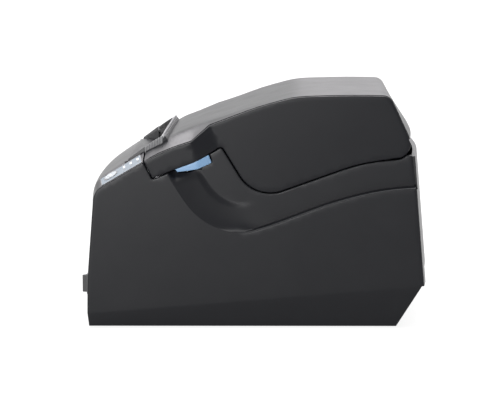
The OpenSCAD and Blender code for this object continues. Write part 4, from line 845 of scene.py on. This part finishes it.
wing_ys = [EXIT_Y + SEAM - 0.1] + list(np.linspace(EXIT_Y + 2, RIDGE_FRONT, 5))
wing_ys += list(np.linspace(RIDGE_FRONT, FULL_Y, 15))[1:]
back_path = [p for p in resampled(TOP_EDGE, 2.4) if p[0] > FULL_Y + 1.2 and p[1] > HINGE_Z + 1]
roof_path = [(y, mid_z(y)) for y in wing_ys] + back_path
roof_rows = []
for (y, z), n in zip(roof_path, path_normals(roof_path)):
    lift = step_up(y, z)
    y, z = (y + n[0] * lift, z + n[1] * lift) if y > FULL_Y + 1 else (y, z + lift)
    out = unit((REAR_Z0 - z) / 20) if y > 0 else 0.0
    roof_rows.append([
        (x, y + n[0] * bulge_at(x) * out, z + n[1] * bulge_at(x) * out + rise_at(y, x))
        for x in columns(edge_x(y))])
roof_cols = columns(SKIN_X)


def roof_keep(j, i):
    """The roof leaves the paper exit open."""
    mid = (roof_cols[i] + roof_cols[i + 1]) / 2
    return not (abs(mid) < NOTCH_X and roof_path[j][0] < RIDGE_FRONT - 0.01)


softened(outward(piece("cover_roof", shell_mesh(roof_rows, SKIN_T, roof_keep), "cover",
                       "cover_plastic", ("cover_top_panel",), sharp=40)), 0.3)
ridge_wall = merged(
    prism(-NOTCH_X - 1, NOTCH_X + 1, [
        NOTCH_FLOOR, RIDGE, moved(RIDGE, 2, -2.7), moved(RIDGE, 1.5, -5),
        moved(NOTCH_FLOOR, 2.6, -0.6)]),
    *both(prism(NOTCH_X, NOTCH_X + 1.8, [
        (EXIT_Y + SEAM, EXIT_Z - 3), moved(NOTCH_FLOOR, 2.6, -2), moved(RIDGE, 1.5, -4),
        (EXIT_Y + 6, mid_z(EXIT_Y + 6) - 1), (EXIT_Y + SEAM, mid_z(EXIT_Y + SEAM) - 1)])))
softened(piece("exit_ridge", ridge_wall, "cover", "cover_plastic"), 0.3)

# Sides of the cover: wide in front, stepped in behind a slanted facet
FACET_LEFT = [(RISE_Y, low_z(RISE_Y)), (EXIT_Y + 30.6, EXIT_Z + 1)]
FACET_RIGHT = [(FULL_Y + 0.5, high_z(FULL_Y + 0.5)), (HORN_TOP[0] - 2.2, HORN_TOP[1] + 0.5)]


def line_y(line, z):
    (y0, z0), (y1, z1) = line
    return y0 + (y1 - y0) * (z - z0) / (z1 - z0)


cover_low = [p for p in shifted(SEAM_LINE, SEAM - 0.2)
             if (p[1] < low_z(EXIT_Y + SEAM) - 0.15 or p[0] > EXIT_Y + 5) and p[0] < HINGE_Y]
arc_z = value_at(HINGE_Y, [p for p in shifted(SEAM_LINE, SEAM) if p[0] > 0])
arc = [p for p in swing_arc(SWING_R, 0.02, math.pi / 2 - 0.12, 12) if p[1] > arc_z + 0.1]
roof_line = [p for p in TOP_EDGE if p[0] > FULL_Y + 0.5 and p[1] > HINGE_Z - 0.5][::-1]
wing_line = [p for p in LOW_EDGE
             if EXIT_Y + SEAM + 0.3 < p[0] < RISE_Y - 0.2 and p[1] > NOSE[1]][::-1]
facet_top = [(FULL_Y + 0.5, high_z(FULL_Y + 0.5)), (RISE_Y, low_z(RISE_Y))]
cover_outline = clean_outline(resampled(
    cover_low + [(HINGE_Y, arc_z)] + arc + roof_line + facet_top + wing_line
    + [(EXIT_Y + SEAM, low_z(EXIT_Y + SEAM)), cover_low[0]], LINE_STEP))
COVER_TOP = ([(EXIT_Y - 8, low_z(EXIT_Y - 8))] + (roof_line + facet_top + wing_line)[::-1]
             + [(REAR_Y - 6, HINGE_Z - 14)])


def cover_front(flat):
    """Outer face of a cover side, which steps in along the slanted facet."""
    left = line_y(FACET_LEFT, flat[:, 1])
    right = line_y(FACET_RIGHT, flat[:, 1])
    share = np.clip((flat[:, 0] - left) / np.maximum(right - left, 0.5), 0, 1)
    return HALF_W - STEP * share - rim_drop(loop_distance(flat, cover_outline), EDGE_R)


def cover_back(flat):
    """Inner face of a cover side, with the rebate for the roof's skin."""
    base = np.full(len(flat), INNER_W - WALL)
    outer = np.interp(flat[:, 0], [RISE_Y, FULL_Y], [SKIN_X + FIT, ROOF_X + FIT])
    rim = smooth((REBATE + 0.1 - np.abs(signed_distance(flat, COVER_TOP))) / 0.1 + 0.5)
    return base + rim * np.maximum(0, outer - base)


def extended(line, by):
    a, b = np.array(line[0]), np.array(line[1])
    u = (b - a) / np.linalg.norm(b - a) * by
    return resampled([tuple(a - u), tuple(b + u)], LINE_STEP)


cover_creases = (rim_creases(cover_outline) + [extended(FACET_LEFT, 4), extended(FACET_RIGHT, 4)]
                 + [shifted(COVER_TOP, -REBATE - 0.1 + d) for d in (-0.06, 0.06)])
cover_side = plate_mesh(cover_outline, cover_creases, cover_front, cover_back)
piece("cover_side_right", cover_side, "cover", "cover_plastic", ("cover_shell",), sharp=50)
piece("cover_side_left", mirrored(*cover_side), "cover", "cover_plastic", sharp=50)


def under(y0, y1, d0, d1):
    """A section that follows the roof's underside, between two distances from it."""
    ys = [y0 + (y1 - y0) * k / 8 for k in range(9)]
    return ([(y, high_z(y) - SKIN_T - d0) for y in ys]
            + [(y, high_z(y) - SKIN_T - d1) for y in ys[::-1]])


BEAM_Y = FULL_Y + 4
KNUCKLE_X = LUG_X - 4.5
cover_frame = merged(
    prism(-INNER_W + 1.7, INNER_W - 1.7, under(HINGE_Y - 20, HINGE_Y - 16, 0.1, 7)),
    prism(-INNER_W + 1.7, INNER_W - 1.7, under(BEAM_Y, BEAM_Y + 4, 0.1, 4.3)),
    *both(prism(INNER_W - WALL - 6, INNER_W - WALL + 0.5, under(BEAM_Y, HINGE_Y - 16, 0.1, 2.6)),
          prism(KNUCKLE_X, LUG_X - 0.4, disc((HINGE_Y, HINGE_Z), 10)),
          prism(KNUCKLE_X, LUG_X - 0.4, [(HINGE_Y - 5, HINGE_Z), (HINGE_Y - 20, TOP_Z - 7),
                                         (HINGE_Y - 6, TOP_Z - 5), (HINGE_Y + 5, HINGE_Z)])))
piece("cover_frame", cover_frame, "cover", "cover_plastic")

# Ribbed lips at the ends of the exit, with the raised ribs in a lighter grey than the lips as a
# painted highlight on their tops, and the light strip along its ridge
LIP_PITCH, LIP_N = 0.95, 11
LIP_TOP = ((EXIT_Y, EXIT_Z + 7.2), (EXIT_Y + 5.6, EXIT_Z + 11.2), (EXIT_Y + 8.2, EXIT_Z + 12.8),
           (EXIT_Y + 10.7, EXIT_Z + 13.7))
lips, ribs = [], []
for k in range(LIP_N):
    y0 = EXIT_Y + 0.15 + k * LIP_PITCH
    for bars, y1, lower in ((ribs, y0 + 0.5, 0.0), (lips, y0 + LIP_PITCH, 0.3)):
        bars.append(prism(NOTCH_X + 0.02, NOTCH_X + 1.5 - lower, [
            (y0, mid_z(y0) - 1.5), (y1, mid_z(y1) - 1.5), (y1, value_at(y1, LIP_TOP) - lower),
            (y0, value_at(y0, LIP_TOP) - lower)]))
front_lip = prism(NOTCH_X + 0.02, NOTCH_X + 1.3, [
    (EXIT_Y - 9.7, EXIT_Z - 0.5), (EXIT_Y - 0.05, EXIT_Z - 0.5),
    (EXIT_Y - 0.05, EXIT_Z + 7.5), (EXIT_Y - 9.7, EXIT_Z + 0.4)])
softened(piece("exit_lips", merged(*both(*lips)), "cover", "inner_plastic"), 0.08, 1)
# The ribs take a lighter grey than the lips beside them: a painted highlight on their tops
softened(piece("exit_ribs", merged(*both(*ribs)), "cover", "inner_plastic", look="rib_painted_highlight"),
         0.08, 1)
softened(piece("front_lips", merged(*both(front_lip)), "printer_body", "inner_plastic"), 0.15, 1)
CAP = ((-2.5, -1.05), (-1.5, -0.25), (-0.6, 0.0), (0.4, -0.75), (1.3, -2.3), (0.5, -3.4),
       (-2.2, -3.2))
TICK = ((-0.3, -0.4), (0.55, -0.5), (1.5, -2.1), (1.0, -2.25))
cap = prism(-NOTCH_X - 0.9, NOTCH_X + 0.9, [moved(RIDGE, *p) for p in CAP])
softened(piece("ridge_strip", cap, "cover", "bar_steel"), 0.15)
ticks = [prism(*span(x, 2.2), [moved(RIDGE, *p) for p in TICK]) for x in range(-52, 53, 8)]
piece("ridge_ticks", merged(*ticks), "cover", "inner_plastic")

# Lever: its rear half turns inwards, and an arm with a hook reaches inside
LEVER_LINE = (LEVER_REAR[0] - LEVER_FRONT[0], LEVER_REAR[1] - LEVER_FRONT[1])
ALONG = math.atan2(LEVER_LINE[1], LEVER_LINE[0])
LEVER_AXIS = moved(LEVER_FRONT, -2.2 * math.sin(ALONG), 2.2 * math.cos(ALONG))
FOLD_Y, FOLD_Z, FOLD_LEAN = EXIT_Y + 31.2, 95, 0.15
FOLD_SLOPE = math.tan(math.radians(24))
tab = clean_outline(resampled(rounded([
    (-45.8, 93.0, 0), (-44.3, 91.5, 0.5), (-38.5, 92.2, 15), (-32.5, 93.2, 3), (-25.1, 96.3, 0.6),
    (-26.6, 101.1, 0.5), (-31.8, 98.4, 12), (-38.6, 95.6, 40), (-45.8, 93.0, 0)]), 0.8))


def lever_face(flat):
    """Outer face of the lever's tab, which turns inwards behind the fold."""
    turned = np.maximum(0, flat[:, 0] - FOLD_Y - (flat[:, 1] - FOLD_Z) * FOLD_LEAN)
    return HALF_W - 0.1 - turned * FOLD_SLOPE - rim_drop(loop_distance(flat, tab), 0.3)


def lever_back(flat):
    return np.minimum(HALF_W - 3.2, lever_face(flat) - 1.4)


fold = [(FOLD_Y + (z - FOLD_Z) * FOLD_LEAN, z) for z in np.arange(90, 103, 0.8)]
tab_lines = [shifted(tab + [tab[0], tab[1]], d) for d in (0.08, 0.18, 0.3)] + [fold]
piece("lever_tab", plate_mesh(tab, tab_lines, lever_face, lever_back, 1.2), "release_lever",
      "lever_plastic", ("cover_lever",), sharp=25)


def on_lever(y, z):
    return (LEVER_AXIS[0] + y * math.cos(ALONG) - z * math.sin(ALONG),
            LEVER_AXIS[1] + y * math.sin(ALONG) + z * math.cos(ALONG))


CATCH_Y = (EXIT_Y + 28.5, EXIT_Y + 32.5)
HOOK_X = HALF_W - 15
PIN_X = HALF_W - 3.4
ear = prism(*span(PIN_X, 1.5), [on_lever(*p) for p in ((5, -3.6), (9, -3.6), (9, 1.5), (5, 1.5))])
arm = [cuboid((HOOK_X - 1.5, HALF_W - 2.8), CATCH_Y, (EXIT_Z - 2.9, EXIT_Z - 1.5)),
       cuboid((HOOK_X - 1.5, HOOK_X), CATCH_Y, (EXIT_Z - 15.2, EXIT_Z - 1.5)),
       cuboid((HOOK_X - 1.9, HOOK_X), CATCH_Y, (EXIT_Z - 15.2, EXIT_Z - 13.5))]
softened(piece("lever_arm", merged(ear, *arm), "release_lever", "lever_plastic"), 0.15)
carved(right_side, cuboid((INNER_W - WALL - 3, HALF_W - 1), (CATCH_Y[0] - 0.5, CATCH_Y[1] + 1),
                          (EXIT_Z - 4.7, EXIT_Z + 4)))
right_side.data.set_sharp_from_angle(angle=math.radians(50))

# Frame and marks of the indicator panel
BUTTON_W, BUTTON_L = 5.4, 7.5
BUTTON_Y = -PANEL_L / 2 + 2 + BUTTON_L / 2


def ring(outer, inner, z0, z1):
    """A closed band on the indicator panel between two outlines with the same count of points."""
    n = len(outer)
    verts = [on_shoulder(x, y, z) for z in (z0, z1) for line in (outer, inner) for x, y in line]
    faces = []
    for k in range(n):
        m = (k + 1) % n
        faces += [(k, m, n + m, n + k)[::-1], (2 * n + k, 2 * n + m, 3 * n + m, 3 * n + k),
                  (k, m, 2 * n + m, 2 * n + k), (n + k, 3 * n + k, 3 * n + m, n + m)]
    return verts, faces


def oval(grow, count=40):
    """The button's outline, grown by a distance all round."""
    radius, out = BUTTON_W / 2 + grow, []
    for k in range(count):
        t = 2 * math.pi * k / count
        middle = BUTTON_Y + math.copysign((BUTTON_L - BUTTON_W) / 2, math.sin(t))
        out.append((radius * math.cos(t), middle + radius * math.sin(t)))
    return out


face = piece("panel_face", shoulder_solid(inset(0.1), -1.2, 0.12), "printer_body", "window_film",
             ("indicator_panel",))
carved(face, shoulder_solid(oval(0.075), -3, 3))
frame_ring = ring(inset(-0.15), inset(0.2), -3.0, 0.2)
button_ring = ring(oval(0.65), oval(0.05), 0.05, 0.24)
piece("panel_frame", merged(frame_ring, button_ring), "printer_body", "switch_plastic")
windows, icons = [], []
for k in range(3):
    y = BUTTON_Y + 9 + k * 4.6
    windows.append(shoulder_solid(rectangle(-2.0, 0.6, *span(y, 0.7)), 0.1, 0.2))
    icons.append(shoulder_solid([(1.9, y - 0.8), (3.5, y), (1.9, y + 0.8)], 0.1, 0.18))
    icons.append(shoulder_solid(rectangle(-3.3, -2.8, *span(y, 0.8)), 0.1, 0.18))
windows.append(shoulder_solid([(-1.2, BUTTON_Y - 0.5), (0, BUTTON_Y + 1.2), (1.2, BUTTON_Y - 0.5)],
                              0.3, 0.42))
piece("panel_windows", merged(*windows), "printer_body", "light_pipe")
piece("panel_icons", merged(*icons), "printer_body", "switch_plastic")

# ---------------------------------------------------------------- camera and light
FOCAL_PX, PHOTO_W, SENSOR_W = 1968.0, 500, 36
camera_data = bpy.data.cameras.new("camera")
camera_data.sensor_width = SENSOR_W
camera_data.lens = FOCAL_PX * SENSOR_W / PHOTO_W
camera = linked("camera", camera_data)
CAM_AT = Vector((1191.2, 24.9, 234.6)) * MM
CAM_YAW, CAM_PITCH, CAM_ROLL = math.radians(-1.42), math.radians(8.1), math.radians(0.15)
flat_forward = Vector((-math.cos(CAM_YAW), math.sin(CAM_YAW), 0))
forward = flat_forward * math.cos(CAM_PITCH) - Vector((0, 0, 1)) * math.sin(CAM_PITCH)
camera.rotation_mode = "QUATERNION"
camera.rotation_quaternion = (forward.to_track_quat("-Z", "Y").to_matrix().to_4x4()
                              @ Matrix.Rotation(-CAM_ROLL, 4, "Z")).to_quaternion()
camera.location = CAM_AT
camera_data.clip_start, camera_data.clip_end = 0.01, 50
bpy.context.scene.camera = camera

bpy.context.scene.view_settings.view_transform = "Standard"


def seen_directly(nodes, links):
    """1 for rays from the camera, off gloss and through glass, 0 for light that falls on things."""
    path = nodes.new("ShaderNodeLightPath")
    total = path.outputs["Is Camera Ray"]
    for ray in ("Is Glossy Ray", "Is Transmission Ray"):
        most = nodes.new("ShaderNodeMath")
        most.operation = "MAXIMUM"
        links.new(total, most.inputs[0])
        links.new(path.outputs[ray], most.inputs[1])
        total = most.outputs[0]
    return total


WHITE = (1, 1, 1, 1)
FLOOR_GLOW = 0.9
WORLD_LIGHT = 0.35

floor_mat = bpy.data.materials.new("floor")
floor_mat.use_nodes = True
nodes, links = floor_mat.node_tree.nodes, floor_mat.node_tree.links
matte = nodes["Principled BSDF"]
matte.inputs["Base Color"].default_value = (0.92, 0.92, 0.92, 1)
matte.inputs["Roughness"].default_value = 0.9
matte.inputs["Specular IOR Level"].default_value = 0.0
glow = nodes.new("ShaderNodeEmission")
blend = nodes.new("ShaderNodeMixShader")
scale = nodes.new("ShaderNodeMath")
scale.operation = "MULTIPLY"
scale.inputs[1].default_value = FLOOR_GLOW
links.new(seen_directly(nodes, links), scale.inputs[0])
links.new(scale.outputs[0], blend.inputs[0])
links.new(matte.outputs[0], blend.inputs[1])
links.new(glow.outputs[0], blend.inputs[2])
links.new(blend.outputs[0], nodes["Material Output"].inputs["Surface"])

FLOOR_R = 6000
floor = linked("floor", raw_mesh("floor", [
    (-FLOOR_R, -FLOOR_R, 0), (FLOOR_R, -FLOOR_R, 0), (FLOOR_R, FLOOR_R, 0), (-FLOOR_R, FLOOR_R, 0),
], [(0, 1, 2, 3)]))
floor.data.materials.append(floor_mat)

world = bpy.data.worlds.new("world")
bpy.context.scene.world = world
world.use_nodes = True
nodes, links = world.node_tree.nodes, world.node_tree.links
nodes["Background"].inputs["Color"].default_value = WHITE
nodes["Background"].inputs["Strength"].default_value = WORLD_LIGHT
plain = nodes.new("ShaderNodeBackground")
plain.inputs["Color"].default_value = WHITE
mixed = nodes.new("ShaderNodeMixShader")
links.new(seen_directly(nodes, links), mixed.inputs[0])
links.new(nodes["Background"].outputs[0], mixed.inputs[1])
links.new(plain.outputs[0], mixed.inputs[2])
links.new(mixed.outputs[0], nodes["World Output"].inputs["Surface"])


def area_light(name, at, to, size, power, color=(1, 1, 1)):
    data = bpy.data.lights.new(name, "AREA")
    data.shape = "RECTANGLE"
    data.size, data.size_y = size
    data.energy = power
    data.color = color
    obj = linked(name, data)
    obj.location = at
    obj.rotation_mode = "QUATERNION"
    obj.rotation_quaternion = (Vector(to) - Vector(at)).to_track_quat("-Z", "Y")
    obj.visible_camera = False


# Three lights behind the printer shine in its tops, and the softbox lights the side in view
area_light("backlight", (-1.25, -0.5, 1.85), (0, 0, 0.1), (2.1, 1.3), 90, (1.0, 0.97, 1.0))
area_light("wing light", (-1.5, -0.95, 0.95), (0, 0, 0.1), (0.8, 0.6), 2.5, (1.0, 0.96, 1.0))
area_light("skim", (-2.0, 0.45, 0.5), (0, 0, 0.12), (1.0, 0.5), 0.85, (1.0, 0.95, 1.0))
area_light("softbox", (1.91, -0.55, 0.31), (0.07, 0, 0.06), (0.9, 0.5), 36)
overhead = bpy.data.lights.new("overhead", "SUN")
overhead.energy = 6.5
overhead.angle = math.radians(70)
linked("overhead", overhead)
